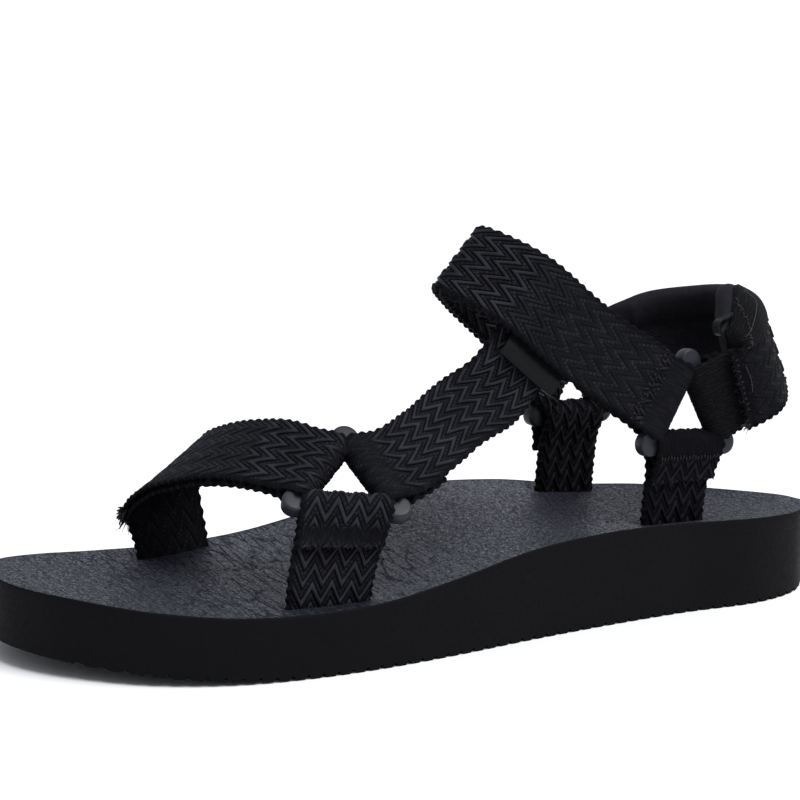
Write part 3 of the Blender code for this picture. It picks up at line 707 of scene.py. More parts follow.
def footbed_finish():
    """Dark blue-grey embossed grain with a sheen: fine pebbles, and cracks across the foot between the straps, with
    painted shade in the cracks and the wrinkles' hollows.
    """
    finish = Finish("footbed_grain", 0.4, 0.30)
    finish.set("Specular Tint", FOOTBED_TINT)
    along = finish.axis("X")
    stretched = finish.coordinates(scale=(1.0, 0.6, 1.0), turn_deg=CREASE_TURN_DEG)
    drawn = finish.coordinates(scale=(1.0, 0.14, 1.0), turn_deg=CRACK_TURN_DEG)
    pebbles = finish.cells(1900.0, stretched).spread(0.0, 0.24)
    wrinkles = finish.noise(1300.0, detail=3.0, roughness=0.6, distortion=0.6, at=stretched)
    cracks = finish.cells(400.0, drawn).spread(0.0, 0.10)
    plain = along.spread(*CRACKS_END, 0.15, 0.85).most(along.spread(*CRACKS_START, 0.80, 0.0))
    faded = finish.noise(120.0).spread(0.42, 0.62, 0.0, 0.8)
    kept = cracks.most(plain.most(faded))
    # Painted shade: the colour darkens in the wrinkles' hollows and most in the cracks, where the relief is low
    shade = wrinkles.spread(0.41, 0.66) * kept
    dull = along.spread(*DULL_TOE, DULLNESS, 0.0).most(along.spread(*DULL_HEEL, 0.0, DULLNESS))
    finish.tint(shade, *FOOTBED_COLOURS)
    finish.set("Roughness", wrinkles.spread(*MIDDLE_HALF, 0.58, 0.14) + dull + kept.rest() * 0.4)
    finish.bump(pebbles * 0.4 + wrinkles + kept * 1.3, 0.52, 1.0)
    return finish.made


def webbing_finish(name, cord, ground):
    """Black polyester webbing: one smooth pale cord and rows of beads to a repeat, plain where it is pressed flat,
    with painted sheen, glints, shade and shadow.
    """
    finish = Finish(name, 0.4, 0.06)
    finish.set("Specular Tint", WEB_TINT)
    phase, across = finish.axis("X", "UV").math("FRACT"), finish.axis("Y", "UV")
    pressed_and_shade = finish.mark("pressed_and_shade")
    kept = pressed_and_shade.rest()
    cords = phase.within(*CORD_ZONE) * (kept * kept)
    zone = phase.within(*BEAD_ZONE) * pressed_and_shade.spread(0.74, 0.86, 1.0, 0.0)
    turn = math.pi * WEAVE_REPEAT / (BEAD_ROWS[1] - BEAD_ROWS[0])
    rows = (phase * turn + -turn * BEAD_ROWS[0] / WEAVE_REPEAT).math("COSINE")
    dots = (across * (math.pi * WEB_WIDTH / BEAD_PITCH)).math("COSINE")
    beads = (rows * dots).spread(0.1, 0.7) * zone
    # Painted glints: the beads' pale colour comes and goes in random patches, and specks of pale colour are painted
    # on the pressed weave
    glint = finish.noise(420.0).spread(0.40, 0.64, 0.3, 1.25)
    glint_specks = finish.noise(1500.0, detail=1.0).spread(0.60, 0.72) * pressed_and_shade
    fibre = finish.noise(1.0, at=finish.coordinates("UV", (60.0, 90.0, 1.0)))
    thread = finish.noise(1.0, at=finish.coordinates("UV", (1.2, 34.0, 1.0))).spread(0.35, 0.70) * pressed_and_shade
    pale = beads * glint + cords * 0.7 + zone * 0.14 + fibre * 0.08 + thread * 0.22 + glint_specks * 0.08
    wear = finish.noise(130.0).spread(0.25, 0.75, 0.5, 1.0)
    # Painted shade: the colour darkens towards the strap's rounded edges
    edge = across.math("ABSOLUTE").spread(0.94, 1.02, 1.0, 0.2)
    light = pale * wear * edge
    # Painted shadow: where the weave is pressed fully flat, at the heel strap flap's end, the colour goes to black
    shadow = pressed_and_shade.spread(0.92, 0.99)
    finish.tint(shadow, finish.blend(light, ground, cord), BLACK)
    finish.set("Roughness", light * -0.30 + 0.66 + pressed_and_shade * 0.12)
    finish.bump((fibre + thread) * 0.2 + beads, 0.35, 0.9)
    return finish.made


def ribbed_finish():
    """Dark tape with fine wavy ribs along the strap, and painted shade between them."""
    finish = Finish("ribbed_tape", 0.7, 0.05)
    wander = finish.noise(1.0, detail=3.0, at=finish.coordinates("UV", (2.6, 7.0, 1.0)))
    fibre = finish.noise(1.0, detail=3.0, at=finish.coordinates("UV", (14.0, 60.0, 1.0)))
    turn = finish.axis("Y", "UV") * (math.pi * WEB_WIDTH / RIB_PITCH)
    rib = (wander * 13.0 + turn).math("SINE")
    # Painted shade: the colour darkens between the ribs, where the relief is low
    light = rib.spread(-0.6, 1.0) * fibre.spread(*MIDDLE_HALF, 0.3, 1.0)
    finish.tint(light, *RIBBED_COLOURS)
    finish.bump(fibre * 1.2 + rib, 0.16, 0.7)
    return finish.made


def lining_finish():
    """Soft black knit with fine ribs along the collar."""
    finish = Finish("heel_lining", 0.8, 0.08)
    rib, stitch = (
        (finish.axis(name, "UV") * (2 * math.pi * per_mm)).math("SINE")
        for name, per_mm in (("Y", LINING_RIBS), ("X", LINING_STITCHES))
    )
    knit = (stitch * 0.35 + rib) * finish.mark("ribbed")
    fuzz = finish.noise(700.0, detail=3.0)
    finish.tint(fuzz, *LINING_COLOURS)
    finish.bump(fuzz * 0.8 + knit, 0.16, 0.7)
    return finish.made


def make_finishes():
    """All finishes of the sandal apart from its threads'."""
    finishes = {name: plain_finish(row) for name, row in PLAIN_FINISHES.items()}
    finishes.update({name: webbing_finish(*row) for name, row in WEBBINGS.items()})
    finishes.update({name: ring_finish(*row) for name, row in RING_FINISHES.items()})
    finishes.update(footbed=footbed_finish(), lining=lining_finish(), ribbed=ribbed_finish())
    return finishes


# Sole


def sole_row(places):
    """The sole's sections at these places, as a dict of columns. The ends are round, so an angle measures them."""
    table = np.array(SOLE_SECTIONS)
    angles = np.arccos(1 - 2 * table[:, 0])
    read = curve_through(angles, table[:, 1:], np.arccos(1 - 2 * np.asarray(places, float)))
    return dict(zip(SOLE_COLUMNS[1:], read.T))


def place_of(x):
    return 0.5 - np.asarray(x, float) / SOLE_LENGTH


def ground_height(places):
    toe = np.clip((places - TOE_SPRING_START) / (1 - TOE_SPRING_START), 0, None)
    heel = np.clip(1 - places / HEEL_LIFT_END, 0, None)
    return TOE_SPRING * toe**2 + HEEL_LIFT * heel**2


def top_height(places, share):
    """Height of the footbed; share runs from 0 at the lateral edge to 1 at the medial edge."""
    row = sole_row(places)
    dish = BALL_DISH_DEPTH + (HEEL_CUP_DEPTH - BALL_DISH_DEPTH) * ease((HEEL_CUP_END - places) / HEEL_CUP_EASE)
    dish = dish * ease(np.minimum(places, 1 - places) / DISH_FADE)
    edge = row["lateral_top"] + (row["medial_top"] - row["lateral_top"]) * ease(share)
    return edge - dish * (1 - (2 * share - 1) ** 2)


def footbed_at(x, y):
    place = place_of(x)
    row = sole_row([place])
    share = (y + row["lateral"][0]) / (row["lateral"][0] + row["medial"][0])
    return float(top_height(np.array([place]), np.array([share]))[0])


def round_places(count):
    """Places along the sole, closer together towards its round ends."""
    return 0.5 - 0.5 * np.cos(np.linspace(0, math.pi, count))


def tread_places():
    """Places of the tread: each groove has two edges and a root, and the round ends are closer."""
    grooves = int((SOLE_LENGTH - 4 * TREAD_PITCH) / TREAD_PITCH)
    start = (SOLE_LENGTH - (grooves - 1) * TREAD_PITCH) / 2
    roots = start + TREAD_PITCH * np.arange(grooves)
    half = TREAD_GROOVE_WIDTH / 2
    ends = start * TREAD_END_REACH * 2 * round_places(2 * TREAD_END_ROWS - 1)[:TREAD_END_ROWS]
    along = np.concatenate([ends, roots - half, roots, roots + half, SOLE_LENGTH - ends])
    depth = np.concatenate([0 * ends, 0 * roots, 0 * roots + TREAD_GROOVE_DEPTH, 0 * roots, 0 * ends])
    order = np.argsort(along)
    return along[order] / SOLE_LENGTH, depth[order]


def slot_dent(x, y):
    """How far the footbed is drawn down round the straps that go into it."""
    depth = np.zeros_like(x)
    for name in SLOTS:
        mouth, length = slot_place(name)
        along = (x - mouth[0]) * length[0] + (y - mouth[1]) * length[1]
        aside = (y - mouth[1]) * length[0] - (x - mouth[0]) * length[1]
        beyond = np.clip(np.abs(along) - WEB_WIDTH / 2, 0, None)
        reach = np.hypot(beyond, np.clip(np.abs(aside) - WEB_THICKNESS / 2, 0, None))
        depth = np.maximum(depth, SLOT_DENT * np.exp(-((reach / SLOT_DENT_REACH) ** 2)))
    return depth


def crease_depth(x, y):
    """How deep the main creases are, at points of the footbed."""
    turn = math.radians(CREASE_TURN_DEG)
    depth = np.zeros_like(x)
    for row in CREASES:
        crease = dict(zip(CREASE_COLUMNS, row))
        right, far = x - crease["x"], y - crease["y"]
        along = far * math.cos(turn) + right * math.sin(turn)
        aside = right * math.cos(turn) - far * math.sin(turn)
        aside = aside + CREASE_WAVE * np.sin(CREASE_WAVE_TURN * along + crease["x"])
        ends = np.clip(1 - (2 * along / crease["length"]) ** 2, 0, 1)
        depth = depth + crease["depth"] * ends * np.exp(-((aside / CREASE_HALF_WIDTH) ** 2))
    return depth


def slot_place(name):
    """The middle of a slot's mouth on the footbed, and the direction that the slot's length runs."""
    slot = dict(zip(SLOT_COLUMNS, SLOTS[name]))
    heading = math.radians(slot["heading_deg"])
    mouth = np.array([slot["x"], slot["y"], footbed_at(slot["x"], slot["y"])])
    return mouth, np.array([math.cos(heading), math.sin(heading), 0.0])


class SoleGrid:
    """Points over the sole's outline, row by row from heel to toe, with the loop of points round its edge."""

    def __init__(self):
        self.rows, self.columns = SOLE_ROWS, SOLE_SPANS + 1
        places, shares = round_places(self.rows), np.linspace(0, 1, self.columns)
        self.place, self.share = (part.ravel() for part in np.meshgrid(places, shares, indexing="ij"))
        row = sole_row(self.place)
        self.x = SOLE_LENGTH * (0.5 - self.place)
        self.y = -row["lateral"] + (row["lateral"] + row["medial"]) * self.share
        index = np.arange(self.rows * self.columns).reshape(self.rows, self.columns)
        self.rim = np.concatenate([index[:-1, 0], index[-1, :-1], index[:0:-1, -1], index[0, :0:-1]])
        self.quads = np.stack([index[:-1, :-1], index[:-1, 1:], index[1:, 1:], index[1:, :-1]], -1).reshape(-1, 4)
        self.outward = self.edge_normals()

    def edge_normals(self):
        line = np.stack([self.x[self.rim], self.y[self.rim]], 1)
        run = np.roll(line, -3, 0) - np.roll(line, 3, 0)
        normals = unit(np.stack([run[:, 1], -run[:, 0]], 1))
        middle = line.mean(0)
        flip = np.sign(((line - middle) * normals).sum())
        return normals * flip

    def ring(self, heights, inset=0.0):
        """The loop round the edge at these heights, drawn in by an inset."""
        x = self.x[self.rim] - inset * self.outward[:, 0]
        y = self.y[self.rim] - inset * self.outward[:, 1]
        return np.stack([x, y, heights], 1)

    def slab(self, low, high, rings):
        """A closed slab: the low and high faces, and the rings of points between them."""
        count = len(self.x)
        points = [np.stack([self.x, self.y, low], 1), np.stack([self.x, self.y, high], 1), *rings]
        faces = [tuple(quad) for quad in self.quads] + [tuple(quad) for quad in self.quads + count]
        picks = [1] * len(self.quads) + [0] * len(self.quads)
        size = len(self.rim)
        loops = [self.rim] + [2 * count + i * size + np.arange(size) for i in range(len(rings))] + [self.rim + count]
        for below, above in zip(loops[:-1], loops[1:]):
            for i in range(size):
                k = (i + 1) % size
                faces.append((below[i], below[k], above[k], above[i]))
                picks.append(1)
        picks[-size:] = [0] * size
        return np.concatenate(points), faces, picks


def make_sole(finishes):
    grid = SoleGrid()
    top = top_height(grid.place, grid.share)
    seam = top - FOOTBED_THICKNESS
    base = ground_height(grid.place) + OUTSOLE_THICKNESS
    edge = top[grid.rim]
    points, faces, _ = grid.slab(base, seam, [])
    add_piece("midsole_foam", points, faces, [finishes["foam"]], sharp_deg=50, replaces="midsole")
    rings = [grid.ring(edge - FOOTBED_EDGE * drop, FOOTBED_EDGE * inset) for drop, inset in EDGE_ROUND]
    points, faces, picks = grid.slab(seam, top, rings)
    count = len(grid.x)
    inner = count + np.arange(count)
    points[inner, 2] -= slot_dent(points[inner, 0], points[inner, 1])
    points[inner, 2] -= crease_depth(points[inner, 0], points[inner, 1])
    points[count + grid.rim] = grid.ring(edge, EDGE_FLAT * FOOTBED_EDGE)
    add_piece(
        "footbed_top", points, faces, [finishes["footbed"], finishes["foam"]], picks=picks, sharp_deg=60,
        replaces="footbed",
    )
    make_tread(finishes["foam"])


def make_tread(finish):
    """The outsole: cross ribs, with their ends showing as notches along the bottom edge."""
    places, depth = tread_places()
    row = sole_row(places)
    shares = np.linspace(0, 1, TREAD_SPANS + 1)
    ground = ground_height(places)
    points = []
    for i, place in enumerate(places):
        y = -row["lateral"][i] + (row["lateral"][i] + row["medial"][i]) * shares
        x = np.full_like(y, SOLE_LENGTH * (0.5 - place))
        points.append(np.stack([x, y, np.full_like(y, ground[i] + depth[i])], 1))
        points.append(np.stack([x, y, np.full_like(y, ground[i] + OUTSOLE_THICKNESS)], 1)[::-1])
    sections = np.reshape(points, (len(places), -1, 3))
    add_tube("outsole_tread", sections, [finish], sharp_deg=30, replaces="outsole")


# Rings


class Ring:
    """A triangular ring's place: its three corners and its three bars."""

    def __init__(self, row):
        at = dict(zip(RING_COLUMNS, row))
        heading, lean, roll = (math.radians(at[k]) for k in ("heading_deg", "lean_deg", "roll_deg"))
        along = np.array([math.cos(heading), math.sin(heading), 0.0])
        inward = np.array([math.sin(heading), -math.cos(heading), 0.0]) * at["side"]
        rise = inward * math.sin(lean) + np.array([0, 0, math.cos(lean)])
        self.middle = np.array([at["x"], at["y"], at["z"]])
        self.along = along * math.cos(roll) + rise * math.sin(roll)
        self.rise = rise * math.cos(roll) - along * math.sin(roll)
        self.face = np.cross(self.along, self.rise)
        self.outward = self.face * -at["side"]
        reach = RING_SIDE / math.sqrt(3)
        self.front, self.rear, self.top = (
            self.middle + reach * (math.cos(a) * self.along + math.sin(a) * self.rise)
            for a in (math.radians(210), math.radians(330), math.radians(90))
        )
        self.bars = {
            "bottom": (self.front, self.rear),
            "front": (self.front, self.top),
            "rear": (self.rear, self.top),
        }

    def bar(self, name):
        """The bar's middle, the direction along it, and the direction out of the ring across it."""
        start, end = self.bars[name]
        middle = (start + end) / 2
        return middle, unit(end - start), unit(middle - self.middle)


def squared(part):
    """A circle's sine or cosine, drawn out towards a rounded square's."""
    return math.copysign(abs(part) ** RING_SQUARENESS, part)


def make_ring(name, ring, finish):
    """A bar bent into a triangle, swelling at its three corners."""
    reach = RING_SIDE / math.sqrt(3)
    hub_reach = reach - 2 * (RING_BAR_RADIUS + RING_HOLE_RADIUS)
    bar_outer = RING_HOLE_RADIUS + 2 * RING_BAR_RADIUS
    lobe_outer = reach + RING_LOBE_RADIUS - hub_reach
    points = []
    for corner in (ring.front, ring.rear, ring.top):
        outward = unit(corner - ring.middle)
        hub = ring.middle + outward * hub_reach
        sideways = np.cross(ring.face, outward)
        for turn in np.radians(np.linspace(-60, 60, RING_TURNS)):
            away = outward * math.cos(turn) + sideways * math.sin(turn)
            outer = bar_outer + (lobe_outer - bar_outer) * abs(math.cos(1.5 * turn)) ** RING_LOBE_POWER
            middle, half = (outer + RING_HOLE_RADIUS) / 2, (outer - RING_HOLE_RADIUS) / 2
            for side in np.linspace(0, 2 * math.pi, RING_SIDES, endpoint=False):
                spoke = away * (middle + half * squared(math.cos(side)))
                points.append(hub + spoke + ring.face * RING_BAR_RADIUS * squared(math.sin(side)))
    add_tube(name + "_plastic", np.reshape(points, (-1, RING_SIDES, 3)), [finish], closed=True, replaces=name)


# Straps


class Spine:
    """A strap's middle line with the way its width runs, and its outer side, at even steps along it."""

    def __init__(self, middles, acrosses, outer):
        middles, acrosses = np.asarray(middles, float), np.asarray(acrosses, float)
        chords = chord_run(middles)
        fine = np.linspace(0, chords[-1], SPINE_FINENESS * len(middles))
        line = curve_through(chords, np.concatenate([middles, acrosses], 1), fine)
        run = chord_run(line[:, :3])
        self.run, self.line, self.length = run, line, run[-1]
        self.tangents = unit(np.gradient(line[:, :3], run, axis=0))
        normals = unit(np.cross(line[:, 3:], self.tangents))
        self.normals = normals if normals[0] @ outer > 0 else -normals

    def read(self, table, where):
        return np.stack([np.interp(where, self.run, column) for column in table.T], -1)

    def middle(self, where):
        return self.read(self.line[:, :3], where)

    def across(self, where):
        return unit(self.read(self.line[:, 3:], where))

    def outward(self, where):
        return self.read(self.normals, where)

    def side(self, where):
        """The outer side at one place."""
        return self.outward(np.array([where]))[0]

    def tangent(self, where):
        return self.read(self.tangents, where)

    def stations(self, start, end):
        """Even steps along the spine from start to end, whichever is larger."""
        count = max(2, int(math.ceil(abs(end - start) / PATH_STEP)) + 1)
        return np.linspace(start, end, count)

    def layer(self, where, offset, from_bar=None):
        """A layer lying outside the middle line by an offset: its points, width's direction, width, thickness."""
        points = self.middle(where) + self.outward(where) * np.reshape(offset, (-1, 1))
        gather = np.ones(len(where)) if from_bar is None else ease(from_bar / BAR_TAPER)
        width = BAR_WIDTH + (WEB_WIDTH - BAR_WIDTH) * gather
        thickness = WRAP_THICKNESS + (WEB_THICKNESS - WRAP_THICKNESS) * gather
        return points, self.across(where), width, thickness


WRAP_RADIUS = RING_BAR_RADIUS + WRAP_GAP + WRAP_THICKNESS / 2
LAYER_OFFSET = (WEB_THICKNESS + GAP) / 2
COLLAR_FACE = LAYER_OFFSET - WEB_THICKNESS / 2 - 2 * GAP


def layer_offset(distance):
    """Half the spacing of two layers: wide round a ring's bar, close once they lie together."""
    return LAYER_OFFSET + (WRAP_RADIUS - LAYER_OFFSET) * (1 - ease(distance / LAYER_TAPER))


def wrap(spine, at_end=False, fuller=0.0):
    """The half turn of a strap round the bar at one end of its spine, from the inner to the outer layer."""
    where = np.array([spine.length if at_end else 0.0])
    beyond = spine.tangent(where) * (1 if at_end else -1)
    turns = np.radians(np.arange(15, 180, 15))
    deep = np.sin(turns)
    reach = deep[:, None] * beyond - np.cos(turns)[:, None] * spine.outward(where)
    width = BAR_WIDTH + (WRAP_WIDTH + fuller - BAR_WIDTH) * deep
    across = np.repeat(spine.across(where), len(turns), 0)
    return spine.middle(where) + WRAP_RADIUS * reach, across, width, np.full(len(turns), WRAP_THICKNESS)


def join(*pieces):
    return tuple(np.concatenate(parts) for parts in zip(*pieces))


def folded(spine, inner_start, outer_end):
    """A strap round the bar at its spine's start: the inner layer to the bar, the turn and the outer layer."""
    inner, outer = spine.stations(inner_start, 0.0), spine.stations(0.0, outer_end)
    return join(
        spine.layer(inner, -layer_offset(inner), inner),
        wrap(spine),
        spine.layer(outer, layer_offset(outer), outer),
    )


def strap_bends(table):
    """The middles of a strap's bends, and the way its width runs at each."""
    rows = np.array(table)
    split = STRAP_COLUMNS.index("across_x")
    return rows[:, :split], rows[:, split:]


def zigzag(share):
    """A triangle wave between -1 and 1 across the strap."""
    phase = (np.clip(share, -1, 1) + 1) / 2 * WEAVE_TEETH
    return 4 * np.abs(phase - np.floor(phase + 0.5)) - 1


def yarn_height(along):
    """Height of the weave above its ground, at a place along the repeat."""
    height = np.zeros_like(along)
    for middle, half_width, top in YARNS:
        aside = np.abs((along - middle + WEAVE_REPEAT / 2) % WEAVE_REPEAT - WEAVE_REPEAT / 2) / half_width
        height = np.maximum(height, top * np.sqrt(np.clip(1 - aside**2, 0, 1)))
    return height


def web_section():
    """The strap's outline: place across, place through, and the way that the yarns stand out, round the section."""
    inner = 1 - 2 * SELVEDGE / WEB_WIDTH
    flat = np.linspace(-inner, inner, WEAVE_TEETH * COLUMNS_PER_TOOTH + 1)
    turns = np.radians(np.arange(30, 180, 30))
    edge = inner + (1 - inner) * np.sin(turns)
    across = np.concatenate([flat, edge, flat[::-1], -edge])
    through = np.concatenate([0 * flat + 1, np.cos(turns), 0 * flat - 1, -np.cos(turns)])
    aside = np.concatenate([0 * flat, np.sin(turns), 0 * flat, -np.sin(turns)])
    return across, through, aside, across / inner


class Band:
    """Webbing along a path. A place on it is a distance along, a share across and a height over its outer face."""

    def __init__(self, path, outer, at_start=False):
        points, acrosses, width, thickness = path
        self.run = chord_run(points)
        self.length = self.run[-1]
        tangents = unit(np.gradient(points, self.run, axis=0))
        normals = unit(np.cross(acrosses, tangents))
        if normals[0 if at_start else -1] @ outer < 0:
            normals = -normals
        self.table = np.concatenate([points, acrosses, normals, width[:, None], thickness[:, None], tangents], 1)

    def read(self, along):
        """Middle, width's direction, outer side, half width, half thickness and tangent at distances along."""
        flat = np.clip(np.ravel(along), 0, self.length)
        columns = np.stack([np.interp(flat, self.run, column) for column in self.table.T], -1)
        columns = columns.reshape(*np.shape(along), -1)
        parts = np.split(columns, (3, 6, 9, 10, 11), -1)
        return parts[0], unit(parts[1]), unit(parts[2]), parts[3] / 2, parts[4] / 2, unit(parts[5])

    def at(self, along, share, height):
        """A point on the outer face, this high above it."""
        middle, across, normal, half, thick, _ = self.read(np.asarray(along, float))
        lift = thick + np.reshape(height, (*np.shape(along), 1))
        return middle + across * half * np.reshape(share, (*np.shape(along), 1)) + normal * lift

    def relief(self, along, steps):
        """How high the yarns stand, from a table of distances along from the start, or back from the end."""
        height = np.ones_like(along)
        for start, end, share in steps:
            start, end = (place if place >= 0 else self.length + 1 + place for place in (start, end))
            within = ease((along - start) / RELIEF_EASE) * ease((end - along) / RELIEF_EASE)
            height = height * (1 - (1 - share) * within)
        return height

    def weave(self, name, finish, steps, stretch):
        """The woven surface: rows of points follow the zigzag, so that each yarn runs along its rows."""
        step = WEAVE_REPEAT / ROWS_PER_REPEAT
        rows = np.arange(-WEAVE_SWING - step, self.length / stretch + WEAVE_SWING + 2 * step, step)
        across, through, aside, teeth = web_section()
        phase = rows[:, None] + 0 * across
        along = phase - WEAVE_SWING * zigzag(teeth)
        first, second = (per_mm * phase + per_share * teeth for per_mm, per_share in WOBBLE_TURNS)
        along = (along + WOBBLE * np.sin(first) * np.cos(second)) * stretch
        inside = (along > 0) & (along < self.length)
        middle, width_way, normal, half, thick, _ = self.read(along)
        height = yarn_height(phase)
        scallop = SCALLOP * (0.5 + 0.5 * np.cos(4 * math.pi * phase / WEAVE_REPEAT))
        raised = self.relief(along, steps)
        height = np.where(np.abs(aside) > 0, scallop, height * raised)
        height = (height * inside)[..., None]
        base = thick - YARN_BASE
        points = middle + width_way * (half * across[:, None] + height * aside[:, None])
        points = points + normal * through[:, None] * (base + height)
        uv = np.stack([phase / WEAVE_REPEAT, teeth + 0 * phase], -1)
        piece = add_tube(name + "_woven", points, [finish], uv, replaces=name)
        # How far the weave is pressed flat, which its material also uses for painted shadow
        mark_points(piece.data, "pressed_and_shade", 1 - raised.ravel())


def loop_band(ring, slot):
    """A strap that comes up out of the sole, goes round the ring's bottom bar and is sewn back on its outside."""
    bar, across, _ = ring.bar("bottom")
    root, slot_across = slot_place(slot)
    slot_out = np.cross(slot_across, (0, 0, 1))
    slot_out = slot_out if slot_out @ ring.outward > 0 else -slot_out
    entry = root + slot_out * LAYER_OFFSET
    middles = (bar, entry, entry - (0, 0, STRAP_DEPTH))
    spine = Spine(middles, (across, slot_across, slot_across), ring.outward)
    return Band(folded(spine, spine.length, LOOP_TURN_BACK), ring.outward)


def toe_band(ring):
    """Comes up from the medial slot, over the toes, round the front ring and back over itself as a flap."""
    bar, across, _ = ring.bar("front")
    root, slot_across = slot_place("medial_front")
    bends, bend_acrosses = strap_bends(TOE_STRAP_BENDS)
    entry = root + (0, LAYER_OFFSET, 0)
    middles = (bar, *bends, entry, entry - (0, 0, STRAP_DEPTH))
    spine = Spine(middles, (across, *bend_acrosses, slot_across, slot_across), ring.outward)
    last_bend = spine.run[np.argmin(np.linalg.norm(spine.line[:, :3] - bends[-1], axis=1))]
    flap_end = last_bend - TOE_FLAP_END
    return Band(folded(spine, spine.length, flap_end), spine.side(flap_end))


def ring_to_ring(near, far, bar, table):
    """The spine of a strap from a bar of the lateral rear ring to the same bar of the medial one."""
    bends, acrosses = strap_bends(table)
    near_bar, near_across, _ = near.bar(bar)
    far_bar, far_across, _ = far.bar(bar)
    return Spine((near_bar, *bends, far_bar), (near_across, *acrosses, far_across), near.outward)


def keeper_station(spine):
    return KEEPER_PLACE * spine.length / 2


def inside_keeper(spine, where):
    """1 where the keeper lies on the instep strap, easing to 0 a little way outside it."""
    distance = np.abs(where - keeper_station(spine))
    return 1 - ease((distance - KEEPER_WIDTH / 2 - 1) / KEEPER_EASE)


def keeper_swell(spine, where):
    """Extra half spacing of the instep strap's layers where the keeper lies between them."""
    return (KEEPER_THICKNESS + 2 * GAP) / 2 * inside_keeper(spine, where)


def settled(distance):
    """0 by the lateral ring, where the sewn end makes a third layer, and 1 once there are two layers."""
    return ease((distance - LAYER_TAPER) / INSTEP_SETTLE)


def instep_band(spine):
    """Sewn round the lateral ring, over the instep, round the medial ring and back on top as a flap."""
    near_end = spine.stations(SEWN_TURN_BACK, 0.0)
    lower = spine.stations(0.0, spine.length)
    upper = spine.stations(spine.length, INSTEP_FLAP_STOP)
    layer_step = WEB_THICKNESS + GAP
    lower_offset = np.where(
        lower < spine.length / 2,
        layer_offset(lower) - layer_step * settled(lower),
        -layer_offset(spine.length - lower),
    ) - keeper_swell(spine, lower)
    upper_offset = layer_offset(spine.length - upper) + layer_step * (1 - settled(upper)) + keeper_swell(spine, upper)
    lower_layer = spine.layer(lower, lower_offset, np.minimum(lower, spine.length - lower))
    lower_layer[2][:] -= (WEB_WIDTH - KEEPER_WAIST) * inside_keeper(spine, lower)
    path = join(
        spine.layer(near_end, -layer_offset(near_end) - layer_step * settled(near_end), near_end),
        wrap(spine),
        lower_layer,
        wrap(spine, at_end=True, fuller=FAR_FOLD),
        spine.layer(upper, upper_offset, spine.length - upper),
    )
    return Band(path, spine.side(upper[-1]))


def diagonal_band(ring, keeper):
    """Sewn round the front ring and held at its other end in the keeper."""
    bar, across, out = ring.bar("rear")
    end, keeper_across, keeper_along = keeper
    lead = bar + out * DIAGONAL_LEAD
    end = end + keeper_along * DIAGONAL_SHIFT
    mouth = end - keeper_across * DIAGONAL_MOUTH
    held = end + keeper_across * DIAGONAL_HELD
    end_across = keeper_along if keeper_along @ across > 0 else -keeper_along
    half_across = unit(across + end_across + (0, DIAGONAL_TILT, 0))
    middles = (bar, lead, (lead + mouth) / 2, mouth, end, held)
    acrosses = (across, across, half_across, end_across, end_across, end_across)
    spine = Spine(middles, acrosses, ring.outward)
    inner = spine.stations(SEWN_TURN_BACK, 0.0)
    outer = spine.stations(0.0, spine.length)
    settle = 1 - ease((outer - SEWN_TURN_BACK) / LAYER_TAPER)
    outer_layer = spine.layer(outer, layer_offset(outer) * settle, outer)
    outer_layer[2][:] -= (WEB_WIDTH - DIAGONAL_END_WIDTH) * ease(outer / spine.length)
    path = join(spine.layer(inner, -layer_offset(inner), inner), wrap(spine), outer_layer)
    return Band(path, spine.side(outer[-1]))


def heel_tab_band(spine):
    """A short strap on the lateral ring that the heel strap's flap closes on."""
    return Band(folded(spine, HEEL_TURN_BACK, HEEL_TAB_LENGTH), spine.side(HEEL_TAB_LENGTH))


def heel_offset(spine, where):
    """How far the heel strap lies outside its spine: over the tab first, then close to the collar."""
    lift = (WEB_THICKNESS + 2 * GAP) * (1 - ease((where - HEEL_TAB_LENGTH) / HEEL_FLAP_SETTLE))
    return np.maximum(layer_offset(spine.length - where), layer_offset(where)) + lift


def heel_band(spine):
    """A flap over the heel tab, round the heel and sewn round the medial ring."""
    outer = spine.stations(HEEL_FLAP_START, spine.length)
    inner = spine.stations(spine.length, spine.length - HEEL_TURN_BACK)
    turn = tuple(part[::-1] for part in wrap(spine, at_end=True))
    path = join(
        spine.layer(outer, heel_offset(spine, outer), spine.length - outer),
        turn,
        spine.layer(inner, -layer_offset(spine.length - inner), spine.length - inner),
    )
    return Band(path, spine.side(outer[0]), at_start=True)


def keeper_outline():
    """The keeper's section: outline points as (place across the instep strap, height over its lower layer)."""
    inner = WEB_THICKNESS / 2 + 1.5 * GAP
    outer = inner + KEEPER_THICKNESS
    edge = WEB_WIDTH / 2
    front, rear = -edge - KEEPER_LEG, KEEPER_WAIST / 2 + GAP
    turns = np.radians(np.arange(75, -76, -15))
    shares = np.linspace(0, KEEPER_HUMP[-1][0], KEEPER_HUMP_ROWS)
    humps = np.array(KEEPER_HUMP)
    rises = curve_through(humps[:, 0], humps[:, 1], shares)

    def side(height):
        over = [(front + KEEPER_LEG * share, height + KEEPER_BULGE * rise) for share, rise in zip(shares, rises)]
        over = over + [(rear, height)]
        under = [(front, -height), (KEEPER_UNDER - edge, -height), (rear, -height)]
        return over + [(rear + height * math.cos(a), height * math.sin(a)) for a in turns] + under[::-1]

    return side(outer) + side(inner)[::-1]


